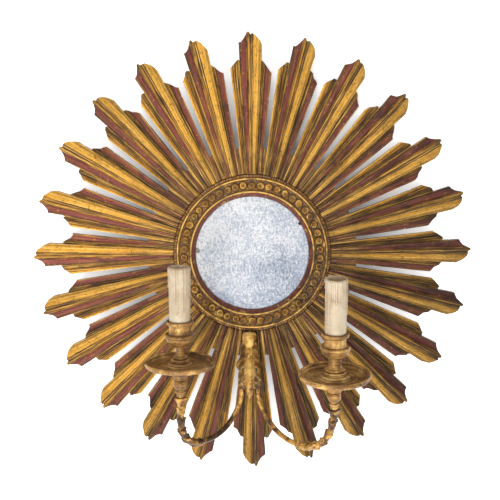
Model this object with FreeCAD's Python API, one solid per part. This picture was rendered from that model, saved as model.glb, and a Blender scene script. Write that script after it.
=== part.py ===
import FreeCAD, Part
import math
import os

# Sunburst wall mirror with two candle arms.
# X runs to the right, Z up, and the viewer stands on the -Y side.
# The wall is the plane y = 0 and the burst's centre lies on the Y axis.
# "forward" is a distance from the wall towards the viewer, so y = -forward.

V = FreeCAD.Vector
TURN = 360.0

# ---------------------------------------------------------------- clearances
seat_gap = 0.3          # between neighbouring parts that only lie beside each other
slip_gap = 0.05         # radial, shaft in its bore
screw_gap = 0.1         # round a screw in its hole
ray_joint_gap = 0.05    # on each flank, where rays lie side by side

# ---------------------------------------------------------------- stack from the wall forward
cover_thick = 5.0       # disc that closes the back and rests on the wall
hub_thick = 14.0        # board that carries the rays
ray_height = 18.0       # back of a ray to its ridge
tongue_height = 8.0     # the ray's inner end, under the ring
glass_thick = 3.0
glass_front = 32.0      # forward of the wall

hub_back = cover_thick
hub_front = hub_back + hub_thick
ridge = hub_front + ray_height
ring_seat = hub_front + tongue_height

# ---------------------------------------------------------------- radii of the round parts
hub_radius = 128.0
sight_radius = 71.0     # visible glass
glass_radius = 76.0
ring_flange_radius = 100.0
tongue_end_radius = 86.0
back_cover_radius = 88.0

ring_rebate_radius = glass_radius + seat_gap
ring_spigot_radius = tongue_end_radius - seat_gap
hub_hole_radius = ring_rebate_radius + 0.7

# ---------------------------------------------------------------- screws
screw_radius = 1.5
screw_head_radius = 3.0
screw_head_height = 1.8
screw_slot_width = 0.8
short_screw = 12.5
long_screw = 23.0
ray_screw_radius = 108.0     # circle of the screws that hold the rays
ring_screw_count = 6
cover_screw_count = 6

# ---------------------------------------------------------------- rays
ray_count = 24
ray_turn = -1.0         # the top ray leans one degree to the left
tip_radius = 280.0
slot_inner_radius = 134.0
left_joint = -6.85      # flanks inside the slots, degrees clockwise of the ray's centreline
right_joint = left_joint + TURN / ray_count
left_edge = -5.9        # flanks beside the slots
right_edge = 7.05
centre_left = -2.83     # sides of the raised middle
centre_right = 3.67
flute_reference = 200.0      # radius at which the depths below are measured

# ---------------------------------------------------------------- ring
bead_count = 50
bead_radius = 4.2
bead_circle = 86.7
bead_centre = 36.8      # forward of the wall
ring_channel = 36.5
line_bead = 1.25        # radius of the thin round mouldings beside the beads
inner_line = 78.4
outer_line = 95.0

# ---------------------------------------------------------------- candles
sleeve_radius = 13.0
sleeve_wall = 2.0
sleeve_length = 68.0
lamp_bore = 6.95        # screw socket for the lamp
pan_radius = 42.0
nipple_radius = 3.0
nipple_bore = 1.9
lead_radius = 1.2
arm_radius = 3.3
arm_bore = 2.2
sheath_radius = 4.4

# heights on a candle's own axis, from the plane of the pan's rim
boss_top = 3.0
cup_floor = 34.0
sleeve_seat = 46.0
cup_top = 49.0
holder_top = 104.0
pan_underside = -12.0
arm_end = -31.0
spigot_end = -45.0
nipple_low = -29.5
nipple_top = 42.0

# ---------------------------------------------------------------- the two sides
# pan: centre of the rim; lean: degrees forward; root: the arm's start in the bracket
SIDES = {
    "left": dict(pan=(-85.4, 105.0, -117.0), lean=5.0, root=(-12.3, 29.0, -168.0),
                 inner_bend=59.0, outer_bend=32.6, drop=52.5, boss=11.0, foot=8.2, stem=4.9),
    "right": dict(pan=(95.5, 130.0, -126.0), lean=8.3, root=(5.1, 29.0, -168.0),
                  inner_bend=65.0, outer_bend=57.0, drop=52.8, boss=14.0, foot=11.5, stem=7.8),
}
arm_top = 16.0          # length of arm above its root, inside the bracket's sockets
socket_radius = 4.1

# ---------------------------------------------------------------- bracket and leaf
bracket_x = (SIDES["left"]["root"][0] + SIDES["right"]["root"][0]) / 2
bracket_width = 18.0
bracket_thick = 3.0
bracket_top = -101.5
bracket_bottom = -172.0
bracket_seat = hub_front + 7.0
lead_hole_radius = 4.0
lead_hole_z = -116.5
lead_spread = 1.5
bracket_screw_offset = 9.0
leaf_wall = 1.8
leaf_top = -100.8

# ---------------------------------------------------------------- back fittings
pocket_left = -12.0
pocket_right = 22.0
pocket_depth = 9.0
pocket_half_height = 6.0
terminal_cover_thick = 1.0
terminal_lip = 1.5
terminal_ear = 5.5
bush_radius = 4.0
bush_bore = 2.8
bush_x = 16.0
bush_forward = 10.4
hanger_z = ray_screw_radius + 4.0
hanger_half_width = 22.0
hanger_height = 12.0
hanger_plate_thick = 0.8
hanger_wire = 1.2
hanger_half_bar = 9.5
hanger_leg = 9.0
hanger_barrel_half = 7.0
hanger_screw_x = 15.0


# ================================================================ helpers
def save(name, shape):
    if not shape.isValid():
        print("not valid:", name)
    print("%-22s solids %2d  volume %10.1f" % (name, len(shape.Solids), shape.Volume))
    shape.exportStep("parts/" + name + ".step")


def closed_wire(steps, lift):
    """Closed wire from (a, b) line ends and (mid a, mid b, a, b) arcs, placed by lift."""
    edges = []
    last = steps[0]
    for step in steps[1:] + [steps[0]]:
        end = step[-2:]
        if math.dist(last, end) < 1e-6:
            continue
        if len(step) == 4:
            edges.append(Part.Arc(lift(*last), lift(*step[:2]), lift(*end)).toShape())
        else:
            edges.append(Part.makeLine(lift(*last), lift(*end)))
        last = end
    return Part.Wire(edges)


def turned(steps):
    """Solid of revolution about Z from (radius, height) steps."""
    face = Part.Face(closed_wire(steps, lambda r, h: V(r, 0, h)))
    return face.revolve(V(0, 0, 0), V(0, 0, 1), TURN)


def facing(shape):
    """Turns a shape made along Z so that its Z points at the viewer."""
    out = shape.copy()
    out.rotate(V(0, 0, 0), V(1, 0, 0), 90)
    return out


def disc(radius, start, end, x=0.0, z=0.0):
    """Cylinder along Y between two distances forward of the wall."""
    return Part.makeCylinder(radius, end - start, V(x, -start, z), V(0, -1, 0))


def block(x0, x1, start, end, z0, z1):
    """Box between two X, two distances forward of the wall and two Z."""
    return Part.makeBox(x1 - x0, end - start, z1 - z0, V(x0, -end, z0))


def pipe(edges, radius):
    wire = Part.Wire(edges)
    first = edges[0]
    start = first.valueAt(first.FirstParameter)
    way = first.tangentAt(first.FirstParameter)
    ring = Part.Wire(Part.makeCircle(radius, start, way))
    return wire.makePipeShell([ring], True, False)


def polar(radius, degrees):
    """Point in the wall plane, degrees clockwise from the top."""
    a = math.radians(degrees)
    return radius * math.sin(a), radius * math.cos(a)


def screw(length, gap=0.0):
    """Countersunk screw: head at the origin, shank along +Z. A gap makes the hole for it."""
    r = screw_radius + gap
    head = screw_head_radius + gap
    taper = screw_head_radius - screw_radius
    tip = length + gap
    body = turned([(0, 0), (head, 0), (r, screw_head_height * (head - r) / taper),
                   (r, tip - r), (0.4 * r, tip), (0, tip)])
    if gap:
        return body
    slot = Part.makeBox(3 * head, screw_slot_width, 0.7, V(-1.5 * head, -screw_slot_width / 2, -0.01))
    return body.cut(slot)


def back_screw(length, x, z, head_forward, gap=0.0):
    """Screw driven from the back towards the viewer."""
    s = facing(screw(length, gap))
    s.translate(V(x, -head_forward, z))
    return s


def front_screw(length, x, z, head_forward, gap=0.0):
    """Screw driven from the front towards the wall."""
    s = screw(length, gap)
    s.rotate(V(0, 0, 0), V(1, 0, 0), -90)
    s.translate(V(x, -head_forward, z))
    return s


# ================================================================ where the screws are
bottom_ray = ray_count // 2


def ray_angle(index):
    return ray_turn + index * TURN / ray_count


ray_screw_places = [polar(ray_screw_radius, ray_angle(i) + (left_joint + right_joint) / 2)
                    for i in range(ray_count) if i != bottom_ray]
ring_screw_circle = (ring_rebate_radius + ring_spigot_radius) / 2
ring_screw_places = [polar(ring_screw_circle, i * TURN / ring_screw_count)
                     for i in range(ring_screw_count)]
cover_screw_places = [polar(back_cover_radius - 5.5, (i + 0.5) * TURN / cover_screw_count)
                      for i in range(cover_screw_count)]
pocket_z0 = lead_hole_z + 1.5 - pocket_half_height
pocket_z1 = lead_hole_z + 1.5 + pocket_half_height
cover_z0 = pocket_z0 - terminal_lip
cover_z1 = pocket_z1 + terminal_lip
terminal_screw_places = [(pocket_left - terminal_ear / 2, (pocket_z0 + pocket_z1) / 2),
                         (pocket_right + terminal_ear / 2, (pocket_z0 + pocket_z1) / 2)]
hanger_screw_places = [(side * hanger_screw_x, hanger_z + hanger_height / 2) for side in (-1, 1)]
bracket_screw_places = [(bracket_x, lead_hole_z + bracket_screw_offset),
                        (bracket_x, lead_hole_z - bracket_screw_offset)]
hanger_face = hub_back - hanger_plate_thick
bracket_face = bracket_seat + bracket_thick


def long_screws(gap=0.0):
    return [back_screw(long_screw, x, z, hub_back, gap) for x, z in ray_screw_places + ring_screw_places]


def short_screws(gap=0.0):
    out = [back_screw(short_screw, x, z, 0.0, gap) for x, z in cover_screw_places]
    out += [back_screw(short_screw, x, z, hub_back, gap) for x, z in terminal_screw_places]
    out += [back_screw(short_screw, x, z, hanger_face, gap) for x, z in hanger_screw_places]
    out += [front_screw(short_screw, x, z, bracket_face, gap) for x, z in bracket_screw_places]
    return out


# ================================================================ rays
# Depth below the ridge at the reference radius, against degrees clockwise of the centreline.
# Everything fans out from the burst's centre, so the flutes get deeper as they get wider.
ray_section = [
    (-9.0, 8.6), (-5.3, 8.6), (-5.15, 9.6), (-4.35, 9.2), (-4.2, 7.6),
    (-3.55, 8.6, -2.95, 6.9), (centre_left, 4.2), (-2.45, 3.9),
    (-1.35, 3.3, -0.35, 0.3), (-0.2, 0.0), (0.3, 0.0), (0.45, 0.9), (0.6, 0.2), (1.1, 0.2),
    (1.25, 1.1), (2.35, 1.0, 3.2, 3.3), (3.35, 4.1), (centre_right, 4.1), (3.8, 7.5),
    (4.2, 7.2), (4.3, 8.0), (4.4, 7.2), (4.8, 7.2), (4.95, 8.6),
    (6.0, 9.7, 7.0, 9.3), (9.0, 9.3),
]


def section_wire(v):
    def lift(deg, depth):
        return V(v * math.tan(math.radians(deg)), v, ray_height - depth * v / flute_reference)

    top = [lift(*step[-2:]) for step in ray_section]
    edges = []
    for i, step in enumerate(ray_section[1:]):
        if len(step) == 4:
            edges.append(Part.Arc(top[i], lift(*step[:2]), top[i + 1]).toShape())
        else:
            edges.append(Part.makeLine(top[i], top[i + 1]))
    low_right = V(top[-1].x, v, 0)
    low_left = V(top[0].x, v, 0)
    edges.append(Part.makeLine(top[-1], low_right))
    edges.append(Part.makeLine(low_right, low_left))
    edges.append(Part.makeLine(low_left, top[0]))
    return Part.Wire(edges)


def at(deg, v):
    """Point on the ray's plan at an angle from the centreline and a height along it."""
    return v * math.tan(math.radians(deg)), v


def on_arc(deg, radius):
    """Point on the ray's plan at an angle and a true radius."""
    a = math.radians(deg)
    return radius * math.sin(a), radius * math.cos(a)


def ray_outline():
    joint = math.degrees(ray_joint_gap / slot_inner_radius)
    left = left_joint + joint
    right = right_joint - joint
    middle = (left + right) / 2
    t = tip_radius
    return [
        on_arc(left, tongue_end_radius),
        on_arc(left, slot_inner_radius),
        on_arc(left_edge, slot_inner_radius),
        at(left_edge, t - 46.3),
        at(-5.35, t - 43.5) + at(-4.25, t - 37.5),
        at(-3.3, t - 35.3) + at(centre_left, t - 34.0),
        at(centre_left, t - 14.0),
        (-6.8, t - 9.4, -1.5, t),
        (0.4, t - 0.9),
        (2.2, t - 4.6),
        (4.6, t - 3.0),
        (11.2, t - 7.6) + at(centre_right, t - 17.5),
        at(centre_right, t - 35.5),
        at(4.25, t - 38.0),
        at(5.5, t - 44.8) + at(right_edge, t - 50.0),
        on_arc(right_edge, slot_inner_radius),
        on_arc(right, slot_inner_radius),
        on_arc(right, tongue_end_radius),
        on_arc(middle, tongue_end_radius) + on_arc(left, tongue_end_radius),
    ]


def ray_blank():
    inner = tongue_end_radius * 0.97
    fan = Part.makeLoft([section_wire(inner), section_wire(tip_radius + 5)], True, True)
    plan = Part.Face(closed_wire(ray_outline(), lambda u, v: V(u, v, -1)))
    body = fan.common(plan.extrude(V(0, 0, ray_height + 2)))
    over_tongue = Part.makeCylinder(ring_flange_radius + seat_gap, ray_height, V(0, 0, tongue_height))
    return body.cut(over_tongue)


def place_ray(shape, index):
    """Stands the ray up on the hub board and turns it to its place in the burst."""
    out = facing(shape)
    out.translate(V(0, -hub_front, 0))
    out.rotate(V(0, 0, 0), V(0, 1, 0), ray_angle(index))
    return out


def bracket_pocket():
    side = bracket_width / 2 + seat_gap
    return block(bracket_x - side, bracket_x + side, bracket_seat, ridge + 1,
                 bracket_bottom - seat_gap, bracket_top + seat_gap)


def make_rays():
    blank = ray_blank()
    pilot = screw(long_screw, screw_gap)
    pilot.translate(V(0, 0, -hub_thick))
    u, v = on_arc((left_joint + right_joint) / 2, ray_screw_radius)
    pilot.translate(V(u, v, 0))
    drilled = blank.cut(pilot)
    for index in range(ray_count):
        if index == bottom_ray:
            ray = place_ray(blank, index).cut(bracket_pocket())
            ray = ray.cut(disc(lead_hole_radius, hub_front - 1, ridge + 1, bracket_x, lead_hole_z))
            for hole in short_screws(screw_gap)[-2:]:
                ray = ray.cut(hole)
        else:
            ray = place_ray(drilled, index)
        save("ray_%02d" % (index + 1), ray)


# ================================================================ middle: ring, glass, packing, boards
def bead_ring():
    back = hub_front
    front = glass_front
    profile = [
        (ring_rebate_radius, back), (ring_spigot_radius, back), (ring_spigot_radius, ring_seat),
        (ring_flange_radius, ring_seat), (ring_flange_radius, ring_seat + 3.0),
        (ring_flange_radius - 1.0, ring_seat + 7.2, outer_line + line_bead + 0.4, ring_channel + 0.6),
        (outer_line + line_bead, ring_channel + 1.7),
        (outer_line, ring_channel + 3.4, outer_line - line_bead, ring_channel + 1.7),
        (outer_line - line_bead - 0.3, ring_channel), (inner_line + line_bead + 0.3, ring_channel),
        (inner_line + line_bead, ring_channel + 1.7),
        (inner_line, ring_channel + 3.4, inner_line - line_bead, ring_channel + 1.7),
        (inner_line - line_bead - 0.2, ring_channel + 0.9),
        (sight_radius + 2.0, ring_channel - 0.3, sight_radius, front + 1.6), (sight_radius, front),
        (ring_rebate_radius, front),
    ]
    ring = facing(turned(profile))
    beads = []
    for i in range(bead_count):
        x, z = polar(bead_circle, i * TURN / bead_count)
        beads.append(Part.makeSphere(bead_radius, V(x, -bead_centre, z)))
    ring = ring.fuse(beads)
    for x, z in ring_screw_places:
        ring = ring.cut(back_screw(long_screw, x, z, hub_back, screw_gap))
    return ring


def hub_board():
    board = disc(hub_radius, hub_back, hub_front).cut(disc(hub_hole_radius, hub_back - 1, hub_front + 1))
    tools = long_screws(screw_gap) + short_screws(screw_gap)
    tools.append(block(pocket_left, pocket_right, hub_back - 1, hub_back + pocket_depth, pocket_z0, pocket_z1))
    tools.append(block(pocket_left - terminal_ear - seat_gap, pocket_right + terminal_ear + seat_gap,
                       hub_back - 1, hub_back + terminal_cover_thick,
                       cover_z0 - seat_gap, cover_z1 + seat_gap))
    tools.append(disc(lead_hole_radius, hub_back, hub_front + 1, bracket_x, lead_hole_z))
    tools.append(Part.makeCylinder(bush_radius + slip_gap, hub_radius + pocket_z0,
                                   V(bush_x, -bush_forward, pocket_z0), V(0, 0, -1)))
    for tool in tools:
        board = board.cut(tool)
    return board


def back_cover():
    cover = disc(back_cover_radius, 0, cover_thick)
    for x, z in cover_screw_places:
        cover = cover.cut(back_screw(short_screw, x, z, 0.0, screw_gap))
    return cover


# ================================================================ back fittings
def terminal_block():
    bottom = hub_back + pocket_depth
    top = bottom - 6.7
    left = 0.0
    right = pocket_right - 2.0
    body = block(left, right, top, bottom, pocket_z0 + 1.5, pocket_z1 - 1.5)
    for z in (lead_hole_z + lead_spread, lead_hole_z - lead_spread):
        body = body.cut(Part.makeCylinder(lead_radius + screw_gap, 5, V(left - 1, -(bottom - 3.5), z), V(1, 0, 0)))
    for x in (6.0, 14.0):
        body = body.cut(disc(1.6, top - 1, top + 1.5, x, (pocket_z0 + pocket_z1) / 2))
    return body


def terminal_cover():
    plate = block(pocket_left - terminal_ear, pocket_right + terminal_ear,
                  hub_back, hub_back + terminal_cover_thick, cover_z0, cover_z1)
    for x, z in terminal_screw_places:
        plate = plate.cut(back_screw(short_screw, x, z, hub_back, screw_gap))
    return plate


def cord_inlet_bush():
    edge = math.sqrt(hub_radius ** 2 - (bush_x - bush_radius - 1.5) ** 2)
    collar = edge + seat_gap
    body = turned([(bush_bore, pocket_z0), (bush_radius, pocket_z0), (bush_radius, -collar),
                   (bush_radius + 1.5, -collar), (bush_radius + 1.5, -collar - 3), (bush_bore, -collar - 3)])
    body.translate(V(bush_x, -bush_forward, 0))
    return body


def hanger_plate():
    barrel_radius = hanger_wire + slip_gap + hanger_plate_thick
    centre = hub_back - barrel_radius
    plate = block(-hanger_half_width, hanger_half_width, hanger_face, hub_back,
                  hanger_z, hanger_z + hanger_height)
    start = V(-hanger_barrel_half, -centre, hanger_z)
    plate = plate.fuse(Part.makeCylinder(barrel_radius, 2 * hanger_barrel_half, start, V(1, 0, 0)))
    plate = plate.cut(Part.makeCylinder(hanger_wire + slip_gap, 2 * hanger_barrel_half, start, V(1, 0, 0)))
    for x, z in hanger_screw_places:
        plate = plate.cut(back_screw(short_screw, x, z, hanger_face, screw_gap))
    return plate.removeSplitter()


def hanger_ring():
    centre = hub_back - (hanger_wire + slip_gap + hanger_plate_thick)
    low = hanger_z - hanger_leg
    ring = Part.makeCylinder(hanger_wire, 2 * hanger_half_bar, V(-hanger_half_bar, -centre, hanger_z), V(1, 0, 0))
    for side in (-1, 1):
        top = V(side * hanger_half_bar, -centre, hanger_z)
        ring = ring.fuse([Part.makeSphere(hanger_wire, top),
                          Part.makeCylinder(hanger_wire, hanger_leg, top, V(0, 0, -1))])
    bow = Part.makeTorus(hanger_half_bar, hanger_wire, V(0, -centre, low), V(0, 1, 0))
    bow = bow.common(Part.makeBox(60, 20, 30, V(-30, -centre - 10, low - 30)))
    return ring.fuse(bow).removeSplitter()


# ================================================================ candle stack, on its own axis
def drip_pan(side):
    boss = side["boss"]
    bore = nipple_radius + slip_gap
    edge = pan_radius
    return turned([
        (bore, boss_top), (boss - 2.4, boss_top),
        (boss - 0.6, boss_top - 0.7, boss, 0.6), (boss + 0.3, -1.0), (boss + 2.4, -1.6),
        (boss + 3.4, -2.4, boss + 3.8, -4.2), (boss + 5.0, -5.4), (edge - 17.0, -5.6),
        (edge - 16.0, -4.5, edge - 15.0, -5.6), (edge - 7.5, -5.4),
        (edge - 5.0, -4.4, edge - 4.2, -1.4), (edge - 2.2, 0.0, edge, -2.8),
        (edge - 0.8, -5.4, edge - 3.4, -6.2), (edge - 7.0, -6.6),
        (edge - 18.0, -9.3, 12.5, -9.8), (10.5, pan_underside + 1.0), (10.5, pan_underside),
        (bore, pan_underside),
    ])


def candle_cup(side):
    foot = side["foot"]
    stem = side["stem"]
    bore = nipple_radius + slip_gap
    socket = sleeve_radius + 0.1
    inside = sleeve_radius - sleeve_wall + 0.3
    return turned([
        (bore, boss_top), (foot, boss_top), (foot + 0.8, boss_top + 1.4, foot, boss_top + 2.8),
        (foot - 1.0, boss_top + 3.4), (stem + 0.6, boss_top + 5.2, stem, boss_top + 8.4),
        (stem, 17.2), (8.0, 17.6), (8.8, 18.8, 8.0, 20.0),
        (14.6, 23.0, 16.6, 28.6), (17.0, 29.0), (17.9, 31.0, 17.0, 33.0), (13.4, 33.6),
        (12.7, 39.0, 13.4, 44.2), (15.4, sleeve_seat - 1.0),
        (16.5, cup_top - 2.0, 15.4, cup_top), (socket, cup_top), (socket, sleeve_seat),
        (inside, sleeve_seat), (inside, cup_floor), (bore, cup_floor),
    ])


def spigot():
    bore = nipple_radius + slip_gap
    socket = arm_radius + slip_gap
    top = pan_underside
    return turned([
        (bore, top), (10.5, top), (10.5, top - 2.0), (9.2, top - 5.0, 8.6, top - 10.6), (7.0, top - 11.6),
        (8.3, top - 16.5, 6.2, top - 22.4), (5.0, top - 23.2), (5.0, top - 24.8),
        (5.7, top - 25.2), (6.2, top - 26.6, 5.7, top - 28.0), (4.8, top - 28.6), (4.8, spigot_end),
        (socket, spigot_end), (socket, arm_end + 0.5), (bore, arm_end + 0.5),
    ])


def nipple():
    return turned([(nipple_bore, nipple_low), (nipple_radius, nipple_low),
                   (nipple_radius, nipple_top), (nipple_bore, nipple_top)])


holder_guide = sleeve_radius - sleeve_wall - 0.08
shell_outside = lamp_bore + 0.55
shell_floor = 83.0
contact_floor = 80.0


def lamp_holder():
    bore = nipple_radius + slip_gap
    top = holder_top
    pocket = shell_outside + slip_gap
    wire = lead_radius + 0.4
    return turned([
        (bore, cup_floor), (8.0, cup_floor), (8.0, cup_floor + 2.5), (5.5, cup_floor + 3.5),
        (5.5, 60.0), (9.6, 64.0), (holder_guide, 64.0), (holder_guide, 67.0), (9.6, 67.0),
        (9.6, top - 3.0), (holder_guide, top - 3.0), (holder_guide, top), (pocket, top),
        (pocket, shell_floor), (4.2, shell_floor), (4.2, contact_floor), (wire, contact_floor),
        (wire, nipple_top + 2.0), (bore, nipple_top + 1.0),
    ])


def socket_shell():
    return turned([(lamp_bore, shell_floor), (shell_outside, shell_floor),
                   (shell_outside, holder_top - 0.5), (lamp_bore, holder_top - 0.5)])


def lamp_contact():
    tip = shell_floor - 0.3
    return turned([(0, contact_floor), (4.1, contact_floor), (4.1, contact_floor + 1.0),
                   (2.4, contact_floor + 1.4), (1.4, tip), (0, tip)])


drip_count = 7
drip_radius = 1.5


def candle_sleeve():
    top = sleeve_seat + sleeve_length
    body = turned([(sleeve_radius - sleeve_wall, sleeve_seat), (sleeve_radius, sleeve_seat),
                   (sleeve_radius, top - 1.2), (sleeve_radius - 0.3, top - 0.3, sleeve_radius - 1.2, top),
                   (sleeve_radius - sleeve_wall, top)])
    runs = []
    for i in range(drip_count):
        turn = math.radians(20 + i * TURN / drip_count)
        length = 9.0 + 7.0 * (i * 3 % drip_count)
        x = (sleeve_radius - 0.7) * math.cos(turn)
        y = (sleeve_radius - 0.7) * math.sin(turn)
        low = V(x, y, top - 2.5 - length)
        runs += [Part.makeCylinder(drip_radius, length, low), Part.makeSphere(drip_radius, low),
                 Part.makeSphere(drip_radius, V(x, y, top - 2.5))]
    inside = Part.makeCylinder(sleeve_radius - sleeve_wall, sleeve_length + 2, V(0, 0, sleeve_seat - 1))
    return body.fuse(runs).cut(inside).removeSplitter()


def candle_axis(side):
    a = math.radians(side["lean"])
    return V(0, -math.sin(a), math.cos(a))


def pan_centre(side):
    x, forward, z = side["pan"]
    return V(x, -(ridge + forward), z)


def stand(shape, side):
    """Puts a part made on its own axis in its place on the leaning candle."""
    out = shape.copy()
    out.rotate(V(0, 0, 0), V(1, 0, 0), side["lean"])
    out.translate(pan_centre(side))
    return out


# ================================================================ arms
class ArmRoute:
    """Line, quarter bend, line, quarter bend, line, in the plane of the candle's axis and the arm's root."""

    def __init__(self, side):
        self.up = candle_axis(side)
        x, forward, z = side["root"]
        self.root = V(x, -(ridge + forward), z)
        reach = pan_centre(side) + self.up * arm_end - self.root
        self.rise = reach.dot(self.up)
        across = reach - self.up * self.rise
        self.span = across.Length
        self.out = across / self.span
        self.r1 = side["inner_bend"]
        self.r2 = side["outer_bend"]
        self.drop = side["drop"]

    def point(self, s, h):
        return self.root + self.out * s + self.up * h

    def bend(self, s, h, radius, side):
        """Quarter bend with its centre at (s, h); side -1 goes down to level, +1 from level up."""
        k = radius * math.sqrt(0.5)
        start = self.point(s - radius, h) if side < 0 else self.point(s, h - radius)
        end = self.point(s, h - radius) if side < 0 else self.point(s + radius, h)
        return Part.Arc(start, self.point(s + side * k, h - k), end).toShape()

    def upper(self, radius):
        """The run inside the bracket and the inner bend, a little longer than the arm itself."""
        return pipe(self.edges(arm_top + 1)[:2], radius)

    def edges(self, top):
        r1, r2, low = self.r1, self.r2, -self.drop
        level = self.span - r2
        return [
            Part.makeLine(self.point(0, top), self.point(0, low + r1)),
            self.bend(r1, low + r1, r1, -1),
            Part.makeLine(self.point(r1, low), self.point(level, low)),
            self.bend(level, low + r2, r2, 1),
            Part.makeLine(self.point(self.span, low + r2), self.point(self.span, self.rise)),
        ]


def arm(side):
    edges = ArmRoute(side).edges(arm_top)
    return pipe(edges, arm_radius).cut(pipe(edges, arm_bore))


def arm_husks(side):
    """Leaf-like casing over the outer bend, ending in a flared cup below the spigot."""
    route = ArmRoute(side)
    edges = route.edges(arm_top)
    low = route.rise + (spigot_end - arm_end) - seat_gap
    riser = Part.makeLine(route.point(route.span, route.r2 - route.drop), route.point(route.span, low))
    body = pipe([edges[3], riser], sheath_radius)
    level = route.span - route.r2
    centre = route.point(level, route.r2 - route.drop)
    normal = route.out.cross(route.up)
    for start in (8.0, 40.0, 68.0):
        knuckle = []
        for deg in (start, start + 9.0, start + 18.0):
            a = math.radians(deg)
            knuckle.append(centre + route.out * (route.r2 * math.sin(a)) - route.up * (route.r2 * math.cos(a)))
        body = body.fuse(pipe([Part.Arc(*knuckle).toShape()], sheath_radius + 0.9))
    flare = turned([(0, -9.5), (sheath_radius - 0.4, -9.5),
                    (sheath_radius + 0.6, -4.5, sheath_radius + 2.4, 0), (0, 0)])
    flare.rotate(V(0, 0, 0), V(1, 0, 0), side["lean"])
    flare.translate(route.point(route.span, low))
    body = body.fuse(flare)
    return body.cut(pipe(route.edges(arm_top), arm_radius + slip_gap))


def lead(side, z):
    """Lamp lead: terminal block, hole in the board and bracket, hollow of the leaf, arm, lamp holder."""
    route = ArmRoute(side)
    y0 = -(hub_back + pocket_depth - 3.5)
    bend = 4.5
    turn_x = bracket_x + bend
    k = bend * (1 - math.sqrt(0.5))
    face = V(bracket_x, -bracket_face, z)
    arm_start = route.point(0, arm_top)
    inlet = Part.Arc(V(turn_x, y0, z), V(bracket_x + k, y0 - k, z), V(bracket_x, y0 - bend, z)).toShape()
    half_way = V((bracket_x + arm_start.x) / 2, (face.y * 1.3 + arm_start.y * 0.7) / 2,
                 (z * 1.15 + arm_start.z * 0.85) / 2)
    loose = Part.BSplineCurve()
    loose.interpolate(Points=[face, half_way, arm_start], InitialTangent=V(0, -20, 0),
                      FinalTangent=route.up * -25)
    last = pan_centre(side) + route.up * (contact_floor - 0.3)
    edges = [Part.makeLine(V(3.0, y0, z), V(turn_x, y0, z)), inlet,
             Part.makeLine(V(bracket_x, y0 - bend, z), face), loose.toShape()]
    in_arm = route.edges(arm_top)
    in_arm[-1] = Part.makeLine(route.point(route.span, route.r2 - route.drop), last)
    return pipe(edges + in_arm, lead_radius)


# ================================================================ bracket and leaf
web_back = ridge + 29.0 - 3.5
web_front = ridge + 29.0 + 3.5
socket_top = -152.5
socket_bottom = -166.0


def leaf_screw(gap=0.0):
    return back_screw(short_screw, bracket_x, (socket_top + socket_bottom) / 2, web_back, gap)


def arm_bracket():
    half = bracket_width / 2
    body = block(bracket_x - half, bracket_x + half, bracket_seat, bracket_face, bracket_bottom, bracket_top)
    for dx in (-1, 1):
        body = body.fuse(block(bracket_x + dx * 5.5 - 1.5, bracket_x + dx * 5.5 + 1.5,
                               bracket_seat, web_front, socket_bottom, socket_top))
    routes = [ArmRoute(side) for side in SIDES.values()]
    xs = [route.root.x for route in routes]
    body = body.fuse(block(min(xs), max(xs), web_back, web_front, socket_bottom, socket_top))
    for route in routes:
        body = body.fuse(route.upper(socket_radius).common(block(-60, 60, 0, 200, socket_bottom, socket_top)))
    for route in routes:
        body = body.cut(route.upper(arm_radius + slip_gap))
    body = body.cut(disc(lead_hole_radius, bracket_seat - 1, bracket_face + 1, bracket_x, lead_hole_z))
    for x, z in bracket_screw_places:
        body = body.cut(front_screw(short_screw, x, z, bracket_face, screw_gap))
    body = body.cut(leaf_screw(screw_gap))
    return body.removeSplitter()


# height on the wall, forward of the ridges in the middle, and the same at the chord's ends
leaf_rows = [(-99.0, 3.0, -8.0), (-105.0, 12.0, -8.0), (-111.0, 14.0, -7.0), (-119.0, 14.5, -5.0),
             (-130.0, 22.0, 3.0), (-142.0, 35.0, 18.0), (-152.0, 43.0, 30.0), (-160.0, 45.0, 33.0),
             (-170.0, 43.0, 33.0), (-184.0, 36.0, 30.0)]
leaf_half_chord = 17.5
leaf_behind = -16.0     # the loft starts behind the ridges and is trimmed there
midrib_proud = 2.4


def leaf_mass(inset):
    wires = []
    for z, middle, edge in leaf_rows:
        def lift(dx, forward, z=z):
            return V(bracket_x + dx, -(ridge + forward), z)

        c = leaf_half_chord
        wires.append(closed_wire([(-c, leaf_behind), (-c, edge - inset),
                                  (0, middle - inset, c, edge - inset), (c, leaf_behind)], lift))
    return Part.makeLoft(wires, True, False)


def mirrored(right):
    """Closes a right half, drawn from top to bottom, with its mirror image."""
    steps = list(right)
    for n in range(len(right) - 1, 0, -1):
        here = right[n]
        back = right[n - 1][-2:]
        end = (-back[0], back[1])
        steps.append((-here[0], here[1]) + end if len(here) == 4 else end)
    return steps[:-1]


def leaf_outline(inset):
    """Shoulder, side lobe, wing and drooping tip."""
    i = inset
    return mirrored([
        (0.0, leaf_top - i), (6.0, leaf_top - 0.2 - i), (8.4 - i, leaf_top - 1.2, 9.2 - i, leaf_top - 4.5),
        (9.4 - i, -114.0 - i), (12.5 - i, -117.5), (13.4 - i, -127.0, 15.4 - i, -135.0),
        (17.2 - i, -145.5), (15.6 - i, -149.5), (16.0 - i, -157.0, 15.6 - i, -165.5),
        (14.4 - i, -167.5 - i / 2), (5.2 - i, -167.5 - i / 2), (3.9 - i, -174.0, 0.0, -181.0 + i),
    ])


def midrib_outline():
    """Bulbous curl at the top, waist, and a long point between the arms."""
    return mirrored([(0.0, leaf_top - 0.6), (5.0, leaf_top - 0.9), (8.6, -104.0, 8.0, -110.0),
                     (6.2, -119.0, 4.4, -127.0), (3.5, -136.0, 4.0, -148.0), (4.7, -158.0, 3.6, -168.0),
                     (2.6, -174.0, 0.0, -179.6)])


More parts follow.
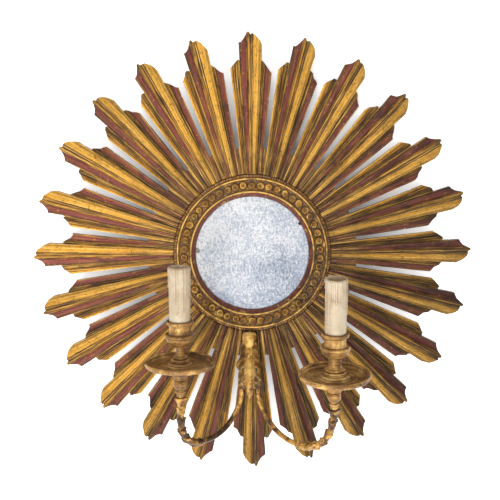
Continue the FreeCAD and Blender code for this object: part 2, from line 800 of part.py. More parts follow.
def leaf_solid(outline, inset):
    def lift(dx, z):
        return V(bracket_x + dx, 0, z)

    plan = Part.Face(closed_wire(outline, lift)).extrude(V(0, -150, 0))
    return leaf_mass(inset).common(plan)


def bracket_leaf():
    body = leaf_solid(leaf_outline(0.0), 0.0).fuse(leaf_solid(midrib_outline(), -midrib_proud))
    body = body.cut(leaf_solid(leaf_outline(leaf_wall), leaf_wall))
    under = block(bracket_x - 40, bracket_x + 40, 0, ridge + seat_gap, -200, -90)
    body = body.cut(under)
    for route in [ArmRoute(side) for side in SIDES.values()]:
        body = body.cut(route.upper(arm_radius + seat_gap))
    z = (socket_top + socket_bottom) / 2
    boss = block(bracket_x - 4, bracket_x + 4, web_front, ridge + 43, z - 4, z + 4)
    tongue = block(bracket_x - 6, bracket_x + 6, bracket_face, ridge + 3, bracket_top - 2.5, leaf_top - 0.5)
    tongue = tongue.common(block(-60, 60, 0, 100, -200, bracket_top))
    body = body.fuse([boss, tongue]).cut(leaf_screw(screw_gap))
    return body.removeSplitter()


# ================================================================ build
os.makedirs("parts", exist_ok=True)

make_rays()
save("hub_board", hub_board())
save("bead_ring", bead_ring())
save("mirror_glass", disc(glass_radius, glass_front - glass_thick, glass_front))
save("mirror_packing", disc(glass_radius - seat_gap, hub_back, glass_front - glass_thick))
save("back_cover", back_cover())
save("long_screws", Part.Compound(long_screws()))
save("short_screws", Part.Compound(short_screws() + [leaf_screw()]))
save("terminal_block", terminal_block())
save("terminal_cover", terminal_cover())
save("cord_inlet_bush", cord_inlet_bush())
save("hanger_plate", hanger_plate())
save("hanger_ring", hanger_ring())
save("arm_bracket", arm_bracket())
save("bracket_leaf", bracket_leaf())

for name, side in SIDES.items():
    save(name + "_arm", arm(side))
    save(name + "_arm_husks", arm_husks(side))
    save(name + "_spigot", stand(spigot(), side))
    save(name + "_drip_pan", stand(drip_pan(side), side))
    save(name + "_candle_cup", stand(candle_cup(side), side))
    save(name + "_nipple", stand(nipple(), side))
    save(name + "_lamp_holder", stand(lamp_holder(), side))
    save(name + "_socket_shell", stand(socket_shell(), side))
    save(name + "_lamp_contact", stand(lamp_contact(), side))
    save(name + "_candle_sleeve", stand(candle_sleeve(), side))
    save(name + "_lead", lead(side, lead_hole_z + (lead_spread if name == "left" else -lead_spread)))
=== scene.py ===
import math
import random

import bmesh
import bpy
from mathutils import Matrix, Vector, noise


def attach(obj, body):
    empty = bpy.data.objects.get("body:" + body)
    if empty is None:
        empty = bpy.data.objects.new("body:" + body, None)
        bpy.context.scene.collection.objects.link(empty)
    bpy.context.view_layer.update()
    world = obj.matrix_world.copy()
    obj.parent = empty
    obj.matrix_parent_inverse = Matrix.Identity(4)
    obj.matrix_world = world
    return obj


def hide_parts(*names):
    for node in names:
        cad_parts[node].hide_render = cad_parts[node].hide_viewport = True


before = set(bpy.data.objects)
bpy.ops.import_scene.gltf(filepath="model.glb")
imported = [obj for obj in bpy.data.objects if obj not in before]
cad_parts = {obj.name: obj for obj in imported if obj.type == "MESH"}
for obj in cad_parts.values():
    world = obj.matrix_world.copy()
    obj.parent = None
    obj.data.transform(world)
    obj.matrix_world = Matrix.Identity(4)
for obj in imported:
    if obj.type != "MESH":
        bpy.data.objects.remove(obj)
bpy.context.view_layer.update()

MM = 0.001
RIDGE = 37.0            # forward of the wall, mm: crests of the rays
RAY_TURN = -1.0         # degrees clockwise of the top ray
RAY_COUNT = 24
PITCH = 360.0 / RAY_COUNT
LEFT_JOINT = -6.85      # degrees: where one ray ends and the next begins
LEAF_X = -3.6           # mm: midline of the leaf
SEAT_GAP = 0.3          # mm between an arm's casing and its spigot

SIDES = {
    "left": dict(pan=(-85.4, 105.0, -117.0), lean=5.0, root=(-12.3, 29.0, -168.0),
                 inner_bend=59.0, outer_bend=32.6, drop=52.5),
    "right": dict(pan=(95.5, 130.0, -126.0), lean=8.3, root=(5.1, 29.0, -168.0),
                  inner_bend=65.0, outer_bend=57.0, drop=52.8),
}


def srgb(r, g, b):
    """Linear colour from 0-255 display values, as read off."""
    def lin(c):
        c /= 255.0
        return c / 12.92 if c <= 0.04045 else ((c + 0.055) / 1.055) ** 2.4
    return (lin(r), lin(g), lin(b), 1.0)


PALE_GOLD = srgb(240, 196, 104)
BRIGHT_GOLD = srgb(218, 158, 54)
GOLD = srgb(188, 134, 52)
OLD_GOLD = srgb(150, 108, 50)
BROWN = srgb(92, 60, 34)
DARK = srgb(44, 30, 20)
OLIVE = srgb(116, 88, 48)
BOLE = srgb(120, 58, 53)
DARK_BOLE = srgb(84, 48, 44)


# ------------------------------------------------------------------ materials
class Mat:
    """A node material with short names for the nodes used here."""

    def __init__(self, name):
        self.mat = bpy.data.materials.new(name)
        self.mat.use_nodes = True
        self.tree = self.mat.node_tree
        self.shader = self.tree.nodes["Principled BSDF"]
        self.open_coordinates()

    @classmethod
    def again(cls, mat):
        """Goes on with a material that is already made."""
        m = cls.__new__(cls)
        m.mat = mat
        m.tree = mat.node_tree
        m.shader = m.tree.nodes["Principled BSDF"]
        m.open_coordinates()
        return m

    def open_coordinates(self):
        self.coord = self.tree.nodes.new("ShaderNodeTexCoord").outputs["Object"]
        split = self.tree.nodes.new("ShaderNodeSeparateXYZ")
        self.link(self.coord, split.inputs[0])
        self.x, self.y, self.z = split.outputs

    def link(self, a, b):
        self.tree.links.new(a, b)

    def put(self, value, socket):
        if hasattr(value, "is_output"):
            self.link(value, socket)
        else:
            socket.default_value = value

    def math(self, op, a, b=None, c=None):
        n = self.tree.nodes.new("ShaderNodeMath")
        n.operation = op
        for i, v in enumerate((a, b, c)):
            if v is not None:
                self.put(v, n.inputs[i])
        return n.outputs[0]

    def times(self, a, b):
        return self.math("MULTIPLY", a, b)

    def plus(self, a, b):
        return self.math("ADD", a, b)

    def minus(self, a, b):
        return self.math("SUBTRACT", a, b)

    def away(self, x=0.0, z=0.0):
        """Distance in the plane of the wall from the point x, z."""
        squares = [self.math("POWER", self.minus(v, c), 2.0) for v, c in ((self.x, x), (self.z, z))]
        return self.math("SQRT", self.plus(*squares))

    def facing(self):
        """Which way the surface looks, as its normal's x, y and z."""
        geometry = self.tree.nodes.new("ShaderNodeNewGeometry")
        split = self.tree.nodes.new("ShaderNodeSeparateXYZ")
        self.link(geometry.outputs["Normal"], split.inputs[0])
        return split.outputs

    def noise(self, scale, detail=4.0, rough=0.55, vector=None, distortion=0.0):
        n = self.tree.nodes.new("ShaderNodeTexNoise")
        n.inputs["Scale"].default_value = scale
        n.inputs["Detail"].default_value = detail
        n.inputs["Roughness"].default_value = rough
        n.inputs["Distortion"].default_value = distortion
        self.link(vector or self.coord, n.inputs["Vector"])
        return n.outputs["Fac"]

    def voronoi(self, scale):
        n = self.tree.nodes.new("ShaderNodeTexVoronoi")
        n.inputs["Scale"].default_value = scale
        self.link(self.coord, n.inputs["Vector"])
        return n.outputs["Distance"]

    def stretch(self, x, y, z):
        n = self.tree.nodes.new("ShaderNodeMapping")
        n.inputs["Scale"].default_value = (x, y, z)
        self.link(self.coord, n.inputs["Vector"])
        return n.outputs[0]

    def vector(self, x, y, z):
        n = self.tree.nodes.new("ShaderNodeCombineXYZ")
        for i, v in enumerate((x, y, z)):
            self.put(v, n.inputs[i])
        return n.outputs[0]

    def ramp(self, fac, stops):
        n = self.tree.nodes.new("ShaderNodeValToRGB")
        e = n.color_ramp.elements
        while len(e) > 1:
            e.remove(e[-1])
        e[0].position, e[0].color = stops[0]
        for pos, colour in stops[1:]:
            e.new(pos).color = colour
        self.link(fac, n.inputs[0])
        return n.outputs[0]

    def range(self, v, a, b, c=0.0, d=1.0):
        n = self.tree.nodes.new("ShaderNodeMapRange")
        for i, value in enumerate((v, a, b, c, d)):
            self.put(value, n.inputs[i])
        return n.outputs[0]

    def mix(self, fac, a, b, mode="MIX"):
        n = self.tree.nodes.new("ShaderNodeMix")
        n.data_type = "RGBA"
        n.blend_type = mode
        self.put(fac, n.inputs["Factor"])
        self.put(a, n.inputs["A"])
        self.put(b, n.inputs["B"])
        return [o for o in n.outputs if o.type == "RGBA"][0]

    def hollows(self, distance):
        """1 in the open, towards 0 in grooves and corners: a colour darkened by it gets painted shade there,
        along with old glaze and dirt.
        """
        n = self.tree.nodes.new("ShaderNodeAmbientOcclusion")
        n.samples = 6
        n.inputs["Distance"].default_value = distance
        return n.outputs["AO"]

    def bump(self, height, strength, distance):
        n = self.tree.nodes.new("ShaderNodeBump")
        n.inputs["Strength"].default_value = strength
        n.inputs["Distance"].default_value = distance
        self.link(height, n.inputs["Height"])
        return n.outputs[0]

    def finish(self, colour, rough, metal=0.0, normal=None):
        self.put(colour, self.shader.inputs["Base Color"])
        self.put(rough, self.shader.inputs["Roughness"])
        self.put(metal, self.shader.inputs["Metallic"])
        if normal is not None:
            self.link(normal, self.shader.inputs["Normal"])
        return self.mat


def ray_material():
    """Painted and gilt bands that fan out from the centre, worn through to the red ground."""
    m = Mat("ray_gilding")
    wobble = m.noise(45.0, 4.0)
    turn = m.times(m.math("ARCTAN2", m.x, m.z), 180.0 / math.pi)
    turn = m.plus(turn, -RAY_TURN - LEFT_JOINT)
    index = m.math("FLOOR", m.math("DIVIDE", turn, PITCH))
    turn = m.plus(turn, m.times(m.minus(wobble, 0.5), 0.4))
    across = m.math("FLOORED_MODULO", turn, PITCH)
    radius = m.away()

    def bands(low, high, stops):
        fac = m.range(across, low - LEFT_JOINT, high - LEFT_JOINT)
        return m.ramp(fac, [((deg - low) / (high - low), colour) for deg, colour in stops])

    left = bands(-6.85, 0.5, [
        (-6.85, BROWN), (-6.05, OLD_GOLD), (-5.8, PALE_GOLD), (-5.5, BRIGHT_GOLD), (-5.0, GOLD),
        (-4.9, DARK), (-4.75, GOLD), (-4.45, OLD_GOLD), (-4.3, DARK), (-4.1, BROWN), (-3.8, OLIVE),
        (-3.6, DARK), (-3.4, OLIVE), (-3.15, DARK), (-3.0, PALE_GOLD), (-2.85, GOLD), (-2.7, DARK),
        (-2.45, DARK_BOLE), (-1.9, BOLE), (-0.95, BOLE), (-0.7, DARK_BOLE), (-0.55, GOLD), (-0.45, DARK),
        (-0.25, OLD_GOLD), (0.0, GOLD), (0.3, OLD_GOLD), (0.45, DARK)])
    right = bands(0.5, 8.15, [
        (0.5, DARK), (0.65, GOLD), (0.85, OLD_GOLD), (1.0, DARK), (1.15, BROWN), (1.25, PALE_GOLD),
        (1.5, BRIGHT_GOLD), (2.3, BRIGHT_GOLD), (2.6, PALE_GOLD), (2.9, BRIGHT_GOLD), (3.3, GOLD),
        (3.55, PALE_GOLD), (3.68, OLD_GOLD), (3.78, DARK), (4.0, OLIVE), (4.15, DARK), (4.3, GOLD),
        (4.45, OLD_GOLD), (4.55, DARK), (4.8, BROWN), (5.0, DARK_BOLE), (5.6, BOLE), (6.5, BOLE),
        (6.8, OLD_GOLD), (6.95, DARK_BOLE), (8.15, BROWN)])
    colours = m.mix(m.math("GREATER_THAN", across, 0.5 - LEFT_JOINT), left, right)

    # streaks that run out along the ray
    def streaks(fine, along, detail, shift):
        own = m.math("MULTIPLY_ADD", index, 1.37, shift)
        return m.noise(1.0, detail, 0.6, m.vector(m.times(across, fine), m.times(radius, along), own))

    wide = streaks(1.0, 14.0, 5.0, 0.0)
    narrow = streaks(3.2, 12.0, 3.0, 5.0)
    hair = streaks(5.2, 30.0, 2.0, 9.0)

    def strip(low, high):
        rise = m.range(across, low - LEFT_JOINT, low + 0.2 - LEFT_JOINT)
        return m.times(rise, m.range(across, high - LEFT_JOINT, high - 0.2 - LEFT_JOINT))

    # the painted strips keep their red-brown
    painted = m.plus(strip(-2.65, -0.65), strip(4.75, 6.85))
    bare_gilt = m.minus(1.0, m.times(painted, 0.82))
    leafed = m.plus(strip(1.15, 3.75), strip(-6.1, -4.95))
    patches = m.noise(30.0, 6.0, 0.62)
    gilt_left = m.range(m.math("MULTIPLY_ADD", patches, 0.5, m.times(wide, 0.5)), 0.52, 0.62)
    colour = m.mix(m.times(m.times(gilt_left, 0.55), bare_gilt), colours, GOLD)
    worn = m.range(m.math("MULTIPLY_ADD", m.noise(52.0, 6.0, 0.68), 0.6, m.times(narrow, 0.4)), 0.53, 0.60)
    colour = m.mix(m.times(worn, m.range(leafed, 0.0, 1.0, 0.55, 0.22)), colour, BROWN)
    lines = m.range(hair, 0.53, 0.57)
    quiet = m.math("MAXIMUM", m.times(painted, 0.6), m.times(leafed, 0.8))
    colour = m.mix(m.times(m.times(lines, 0.8), m.minus(1.0, quiet)), colour, DARK)
    shine = m.range(hair, 0.45, 0.39)
    colour = m.mix(m.times(m.times(shine, 0.55), bare_gilt), colour, BRIGHT_GOLD)
    shine = m.range(narrow, 0.42, 0.35)
    colour = m.mix(m.times(m.times(shine, 0.65), bare_gilt), colour, PALE_GOLD)
    # fine cross cracks in the leaf
    cracks = m.noise(1.0, 4.0, 0.7, m.vector(m.times(across, 3.0), m.times(radius, 190.0), index))
    cracks = m.times(m.range(cracks, 0.53, 0.62), m.math("MULTIPLY_ADD", leafed, 0.35, 0.25))
    colour = m.mix(cracks, colour, BROWN)
    flecks = m.range(m.noise(210.0, 4.0, 0.7), 0.60, 0.66)
    colour = m.mix(m.times(m.times(flecks, painted), 0.7), colour, GOLD)
    # close to the ring the lines crowd together
    crowd = m.range(radius, 0.100, 0.152, 0.85, 0.0)
    thin = streaks(1.9, 10.0, 3.0, 23.0)
    colour = m.mix(m.times(crowd, m.range(thin, 0.51, 0.56)), colour, DARK_BOLE)
    colour = m.mix(m.times(crowd, m.range(thin, 0.45, 0.40)), colour, PALE_GOLD)
    # dark stains, spread further towards the right as painted shade, and close to the ring
    rightward_shade = m.range(m.x, -0.1, 0.25, 0.0, 0.06)
    near = m.range(radius, 0.100, 0.150, 0.07, 0.0)
    blotches = m.times(m.noise(48.0, 6.0, 0.7), 0.3)
    stains = m.math("MULTIPLY_ADD", streaks(0.55, 24.0, 6.0, 17.0), 0.7, blotches)
    level = m.plus(m.plus(stains, rightward_shade), near)
    grime = m.range(level, 0.55, 0.61)
    colour = m.mix(m.times(grime, m.range(leafed, 0.0, 1.0, 0.55, 0.28)), colour, DARK)
    spots = m.range(m.noise(190.0, 4.0, 0.7), 0.62, 0.68)
    colour = m.mix(m.times(spots, 0.7), colour, DARK)
    tint_and_shade = m.range(m.noise(1.0, 0.0, 0.5, m.vector(m.times(index, 0.83), 3.7, 1.1)), 0.3, 0.7, 0.84, 1.14)
    # painted light and shade: the rays are made lighter to the upper left and darker to the lower right; also
    # a little darker towards the tips
    shade_axis = m.minus(m.times(m.x, 0.76), m.times(m.z, 0.65))
    tint_and_shade = m.times(tint_and_shade, m.range(shade_axis, -0.17, 0.17, 1.28, 0.61))
    tint_and_shade = m.times(tint_and_shade, m.range(radius, 0.200, 0.265, 1.0, 0.84))
    colour = m.mix(1.0, colour, m.vector(tint_and_shade, tint_and_shade, tint_and_shade), "MULTIPLY")
    # painted shade: darker in grooves and corners, less so close to the ring
    hollow = m.range(m.hollows(0.0024), 0.4, 0.92, 0.9, 0.0)
    hollow = m.times(hollow, m.range(radius, 0.101, 0.106, 0.35, 1.0))
    colour = m.mix(hollow, colour, DARK)
    # the back and the sawn sides are bare stained wood
    backward = m.facing()[1]
    behind = m.range(backward, 0.5, 0.9)
    grain = m.noise(1.0, 5.0, 0.6, m.vector(m.times(across, 1.5), m.times(radius, 60.0), index))
    bare = m.ramp(grain, [(0.3, srgb(120, 88, 58)), (0.7, srgb(156, 120, 84))])
    sawn = m.range(backward, -0.25, -0.05)
    colour = m.mix(m.times(sawn, 0.7), colour, BROWN)
    colour = m.mix(behind, colour, bare)
    rough = m.range(patches, 0.3, 0.7, 0.36, 0.58)
    gilt = m.times(m.range(worn, 0.0, 1.0, 0.35, 0.05), m.minus(1.0, behind))
    height = m.plus(m.times(narrow, 0.7), m.times(hair, 0.5))
    height = m.plus(height, m.times(patches, 0.6))
    m.shader.inputs["Specular IOR Level"].default_value = 0.32
    return m.finish(colour, rough, gilt, m.bump(height, 0.8, 0.0011))


def ring_material():
    """Gilt mouldings and rosettes with dark glaze and painted shade in the hollows and a red fillet by the
    glass.
    """
    m = Mat("ring_gilding")
    radius = m.away()
    mmr = m.times(radius, 1000.0)
    mmr = m.plus(mmr, m.times(m.minus(m.noise(70.0, 3.0), 0.5), 0.7))
    lo, span = 70.0, 31.0

    def stop(r, colour):
        return ((r - lo) / span, colour)

    base = m.ramp(m.math("DIVIDE", m.minus(mmr, lo), span), [
        stop(70.2, DARK), stop(72.6, DARK), stop(73.0, srgb(112, 54, 42)), stop(74.0, srgb(138, 66, 48)),
        stop(76.2, srgb(118, 58, 42)), stop(76.9, DARK), stop(77.3, GOLD), stop(78.4, PALE_GOLD),
        stop(79.5, GOLD), stop(80.2, BROWN), stop(81.5, OLD_GOLD), stop(92.3, OLD_GOLD), stop(93.2, BROWN),
        stop(93.9, GOLD), stop(95.0, PALE_GOLD), stop(96.1, GOLD), stop(96.6, BROWN), stop(97.1, GOLD),
        stop(99.0, GOLD), stop(100.0, OLD_GOLD)])
    forward = m.times(m.y, -1000.0)
    in_band = m.times(m.math("GREATER_THAN", mmr, 81.2), m.math("LESS_THAN", mmr, 92.4))
    raised = m.times(in_band, m.range(forward, 37.4, 39.4))
    sunk = m.times(in_band, m.range(forward, 37.6, 36.4))
    blot = m.noise(110.0, 5.0, 0.6)
    bead = m.ramp(blot, [(0.36, OLD_GOLD), (0.48, GOLD), (0.62, PALE_GOLD)])
    colour = m.mix(raised, base, bead)
    patchy = m.range(m.noise(230.0, 4.0, 0.7), 0.42, 0.56, 0.15, 0.85)
    colour = m.mix(m.times(sunk, patchy), colour, DARK)
    worn = m.range(m.noise(46.0, 6.0, 0.66), 0.48, 0.60)
    colour = m.mix(m.times(worn, 0.65), colour, BROWN)
    red = m.range(m.noise(84.0, 5.0, 0.7), 0.57, 0.64)
    colour = m.mix(m.times(red, 0.5), colour, BOLE)
    lost = m.range(m.noise(170.0, 5.0, 0.7), 0.57, 0.65)
    colour = m.mix(m.times(lost, 0.6), colour, DARK)
    rub = m.range(m.noise(95.0, 4.0, 0.6), 0.42, 0.34)
    colour = m.mix(m.times(rub, 0.5), colour, PALE_GOLD)
    spoke = m.noise(1.0, 3.0, 0.6, m.vector(m.times(m.math("ARCTAN2", m.x, m.z), 58.0), 2.0, 5.0))
    spoke = m.ramp(spoke, [(0.40, DARK), (0.47, DARK_BOLE), (0.52, OLD_GOLD), (0.60, GOLD)])
    colour = m.mix(m.range(mmr, 96.6, 97.2), colour, spoke)
    # painted shade: darker in grooves and corners, less on the outer cove
    hollow = m.range(m.hollows(0.0022), 0.3, 0.85, 0.75, 0.0)
    hollow = m.times(hollow, m.range(mmr, 96.6, 97.6, 1.0, 0.3))
    colour = m.mix(hollow, colour, DARK)
    # darker towards the lower right: painted shade, added to the dark smut
    shade_slope = m.minus(m.times(m.x, 0.8), m.times(m.z, 0.6))
    smut_and_shade = m.plus(m.noise(120.0, 5.0, 0.7), m.range(shade_slope, -0.09, 0.09, -0.08, 0.08))
    colour = m.mix(m.range(smut_and_shade, 0.54, 0.62, 0.0, 0.6), colour, DARK)
    rough = m.range(blot, 0.3, 0.7, 0.32, 0.55)
    height = m.plus(m.noise(260.0, 4.0), m.times(blot, 0.8))
    return m.finish(colour, rough, m.range(worn, 0.0, 1.0, 0.4, 0.05), m.bump(height, 0.7, 0.0008))


def gilt_material(name, light, middle, dark, metal, scale=1.0, grain=1.0):
    """Aged gilding on metal: bright rubbed places, fine pitting, and painted shade that browns the hollows.
    """
    m = Mat(name)
    big = m.noise(26.0 * scale, 5.0, 0.6)
    small = m.noise(170.0 * scale, 5.0, 0.65)
    mixd = m.plus(m.times(big, 0.6), m.times(small, 0.4))
    colour = m.ramp(mixd, [(0.43, dark), (0.49, middle), (0.55, light)])
    pits = m.range(m.voronoi(420.0 * scale), 0.0, 0.16, 0.55, 0.0)
    colour = m.mix(pits, colour, DARK)
    red = m.range(m.noise(60.0 * scale, 4.0, 0.7), 0.60, 0.70, 0.0, 0.35)
    colour = m.mix(red, colour, BOLE)
    grime = m.range(m.noise(75.0 * scale, 6.0, 0.7), 0.54, 0.64, 0.0, 0.6)
    colour = m.mix(grime, colour, dark)
    # painted shade: darker in grooves and corners
    colour = m.mix(m.range(m.hollows(0.0045), 0.35, 0.92, 1.0, 0.0), colour, DARK)
    rough = m.range(small, 0.3, 0.7, 0.30, 0.52)
    height = m.plus(small, m.times(big, 0.8))
    return m.finish(colour, rough, metal, m.bump(height, 0.35 * grain, 0.0006))


def leaf_material():
    """Leaf gilding, rubbed bright along the midrib, with painted shade in dark brown on the lobes beside it.
    """
    mat = gilt_material("leaf_gilding", srgb(240, 196, 112), srgb(194, 142, 62), srgb(108, 74, 36),
                        0.3, 1.2, 1.6)
    m = Mat.again(mat)
    # the sunken lobes beside the midrib get painted shade in brown; the colour also darkens towards the lower
    # tip
    off = m.math("ABSOLUTE", m.minus(m.x, LEAF_X * MM))
    half = m.range(m.z, -0.104, -0.127, 0.0086, 0.0050)
    lobes = m.range(m.minus(off, half), 0.0, 0.0016)
    low = m.range(m.z, -0.148, -0.168, 0.0, 0.35)
    amount = m.math("MAXIMUM", m.times(lobes, 0.8), low)
    before = m.shader.inputs["Base Color"].links[0].from_socket
    patch = m.range(m.noise(90.0, 5.0, 0.7), 0.40, 0.60, 0.35, 1.2)
    m.put(m.mix(m.times(amount, patch), before, srgb(78, 52, 28)), m.shader.inputs["Base Color"])
    return mat


def turned_material():
    """Bronze-gold turnings: rings of darker glaze lie round the candle's axis."""
    m = Mat("turned_gilding")
    big = m.noise(58.0, 6.0, 0.62)
    small = m.noise(200.0, 5.0, 0.65)
    rings = m.noise(1.0, 3.0, 0.6, m.stretch(8.0, 8.0, 520.0))
    tone = m.plus(m.times(big, 0.5), m.plus(m.times(small, 0.2), m.times(rings, 0.3)))
    colour = m.ramp(tone, [(0.42, srgb(92, 64, 34)), (0.47, srgb(150, 108, 54)),
                           (0.53, srgb(178, 132, 66)), (0.58, srgb(226, 184, 108))])
    # painted shade: what faces up is made darker and browner
    upward_shade = m.range(m.facing()[2], 0.6, 0.95, 0.0, 0.5)
    colour = m.mix(upward_shade, colour, srgb(116, 78, 36))
    specks = m.range(m.noise(150.0, 5.0, 0.7), 0.58, 0.66, 0.0, 0.7)
    colour = m.mix(specks, colour, srgb(66, 44, 24))
    # painted shade: darker in grooves and corners
    colour = m.mix(m.range(m.hollows(0.007), 0.35, 0.93, 1.0, 0.0), colour, srgb(46, 31, 18))
    rough = m.range(small, 0.3, 0.7, 0.34, 0.54)
    height = m.plus(small, m.times(rings, 0.7))
    return m.finish(colour, rough, 0.3, m.bump(height, 0.4, 0.0006))


def glass_material():
    """Old silvering with bright crossed scratches, cloudy patches, foxed rim and a few losses, in colours
    that paint the room's reflection.
    """
    m = Mat("foxed_mirror")
    radius = m.away()
    mmr = m.times(radius, 1000.0)
    cloud = m.noise(30.0, 6.0, 0.62, None, 0.6)
    upright = m.noise(1.0, 4.0, 0.75, m.stretch(480.0, 1.0, 170.0), 0.6)
    slanted = m.noise(1.0, 4.0, 0.75, m.stretch(240.0, 1.0, 420.0), 0.6)
    grit = m.noise(430.0, 3.0, 0.75)
    tone = m.plus(m.times(upright, 0.40), m.times(slanted, 0.25))
    tone = m.plus(tone, m.times(grit, 0.35))
    tone = m.plus(tone, m.times(m.minus(cloud, 0.5), 0.22))
    # painted reflection: the tone is lighter to the upper left, and the ramp's blue-grey to white colours
    # stand in for the room seen in the glass
    tone = m.plus(tone, m.range(m.minus(m.x, m.z), -0.1, 0.1, 0.05, -0.045))
    colour = m.ramp(tone, [(0.40, srgb(128, 140, 160)), (0.46, srgb(184, 193, 208)),
                           (0.51, srgb(214, 219, 228)), (0.56, srgb(253, 253, 254))])
    rim = m.noise(95.0, 6.0, 0.7)
    fox = m.times(m.range(mmr, 64.0, 73.5), m.range(rim, 0.53, 0.62))
    colour = m.mix(m.times(fox, 0.8), colour, srgb(104, 88, 72))
    # painted shadow: a dark line round the edge of the glass, where the frame shades it
    edge = m.range(mmr, 71.3, 72.3)
    colour = m.mix(m.times(edge, 0.75), colour, srgb(52, 50, 46))

    def stain(x, z, size, dark, strength):
        d = m.plus(m.away(x, z), m.times(m.minus(rim, 0.5), size * 1.6))
        return m.mix(m.range(d, size * 1.15, size * 0.8, 0.0, strength), colour, dark)

    colour = stain(0.0606, 0.0378, 0.0022, srgb(30, 28, 26), 0.95)
    colour = stain(-0.0700, 0.0030, 0.0034, srgb(112, 98, 78), 0.75)
    rough = m.range(tone, 0.4, 0.6, 0.30, 0.16)
    return m.finish(colour, rough, m.range(fox, 0.0, 1.0, 0.3, 0.1), m.bump(tone, 0.12, 0.0005))


def wood_material(name, dark, light, along=(4.0, 60.0, 60.0)):
    m = Mat(name)
    grain = m.noise(1.0, 6.0, 0.62, m.stretch(*along), 0.8)
    pores = m.noise(1.0, 3.0, 0.6, m.stretch(along[0] * 12, along[1] * 12, along[2] * 12))
    colour = m.ramp(grain, [(0.32, dark), (0.68, light)])
    colour = m.mix(m.range(pores, 0.55, 0.75, 0.0, 0.4), colour, dark)
    return m.finish(colour, m.range(grain, 0.3, 0.7, 0.7, 0.85), 0.0, m.bump(pores, 0.3, 0.0005))


def wax_material():
    """Cream candle sleeve with a few scuffs, brown round the lip, and painted shade in brown beside and under
    the runs and inside it.
    """
    m = Mat("candle_wax")
    soft = m.noise(46.0, 5.0, 0.6)
    colour = m.ramp(soft, [(0.34, srgb(188, 168, 138)), (0.5, srgb(206, 188, 159)),
                           (0.66, srgb(222, 208, 182))])
    upright = m.noise(1.0, 4.0, 0.6, m.stretch(420.0, 420.0, 26.0))
    colour = m.mix(m.range(upright, 0.54, 0.68, 0.0, 0.3), colour, srgb(204, 176, 138))
    scuff = m.range(m.noise(190.0, 5.0, 0.7), 0.62, 0.68, 0.0, 0.6)
    colour = m.mix(scuff, colour, srgb(140, 108, 74))
    # painted shade: the sleeve's stain value browns it beside and under the runs and inside, and round the
    # lip
    stain = m.tree.nodes.new("ShaderNodeAttribute")
    stain.attribute_name = "stain"
    fade = m.range(m.noise(130.0, 4.0, 0.7), 0.38, 0.58, 0.35, 1.0)
    colour = m.mix(m.times(m.times(stain.outputs["Fac"], fade), 0.8), colour, srgb(150, 110, 70))
    shade = m.range(m.hollows(0.0025), 0.55, 0.97, 0.8, 0.0)
    colour = m.mix(shade, colour, srgb(140, 100, 64))
    m.shader.inputs["Subsurface Weight"].default_value = 0.08
    m.shader.inputs["Subsurface Radius"].default_value = (0.003, 0.002, 0.001)
    rough = m.range(soft, 0.3, 0.7, 0.38, 0.55)
    return m.finish(colour, rough, 0.0, m.bump(m.noise(110.0, 4.0), 0.3, 0.0006))


def plain_material(name, colour, rough, metal=0.0, scale=220.0, vary=0.25):
    m = Mat(name)
    n = m.noise(scale, 4.0, 0.6)
    darker = (colour[0] * (1 - vary), colour[1] * (1 - vary), colour[2] * (1 - vary), 1.0)
    mixed = m.ramp(n, [(0.35, darker), (0.65, colour)])
    return m.finish(mixed, m.range(n, 0.3, 0.7, rough - 0.06, rough + 0.08), metal, m.bump(n, 0.2, 0.0004))


RAYS = ray_material()
RING = ring_material()
TURNED = turned_material()
ARM = gilt_material("arm_gilding", srgb(218, 168, 84), srgb(146, 102, 46), srgb(62, 43, 26), 0.45)
LEAF = leaf_material()
GLASS = glass_material()
BOARD = wood_material("board_wood", srgb(110, 80, 52), srgb(158, 124, 86))
COVER = wood_material("cover_wood", srgb(128, 98, 66), srgb(178, 146, 104), (5.0, 50.0, 70.0))
CARD = plain_material("packing_card", srgb(158, 140, 112), 0.85, 0.0, 120.0)
STEEL = plain_material("screw_steel", srgb(140, 134, 124), 0.42, 0.9)
IRON = plain_material("bracket_iron", srgb(78, 66, 50), 0.6, 0.4)
BRASS = plain_material("lamp_brass", srgb(196, 162, 96), 0.32, 0.9)
PLASTIC = plain_material("holder_plastic", srgb(54, 46, 40), 0.5, 0.0, 300.0, 0.15)
CABLE = plain_material("lead_cable", srgb(48, 42, 38), 0.6, 0.0, 300.0, 0.2)
WAX = wax_material()

NODE_MATERIAL = {
    "hub_board": BOARD, "bead_ring": RING, "mirror_glass": GLASS, "mirror_packing": CARD, "back_cover": COVER,
    "long_screws": STEEL, "short_screws": STEEL, "terminal_block": PLASTIC, "terminal_cover": PLASTIC,
    "cord_inlet_bush": PLASTIC, "hanger_plate": STEEL, "hanger_ring": STEEL, "arm_bracket": IRON,
    "bracket_leaf": LEAF, "arm": ARM, "arm_husks": ARM, "spigot": TURNED, "drip_pan": TURNED,
    "candle_cup": TURNED, "nipple": BRASS, "lamp_holder": PLASTIC, "socket_shell": BRASS,
    "lamp_contact": BRASS, "candle_sleeve": WAX, "lead": CABLE,
}
for name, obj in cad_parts.items():
    kind = name.split("_", 1)[1] if name.split("_")[0] in SIDES else name
    material = RAYS if name.startswith("ray_") else NODE_MATERIAL[kind]
    if not obj.material_slots:
        obj.data.materials.append(material)
    for held in obj.material_slots:
        held.material = material


# ------------------------------------------------------------------ modelled pieces
def new_piece(name, mesh_data, material, body, node, soften=True):
    obj = bpy.data.objects.new(name, mesh_data)
    bpy.context.scene.collection.objects.link(obj)
    mesh_data.materials.append(material)
    if soften:
        for p in mesh_data.polygons:
            p.use_smooth = True
    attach(obj, body)
    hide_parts(node)
    return obj


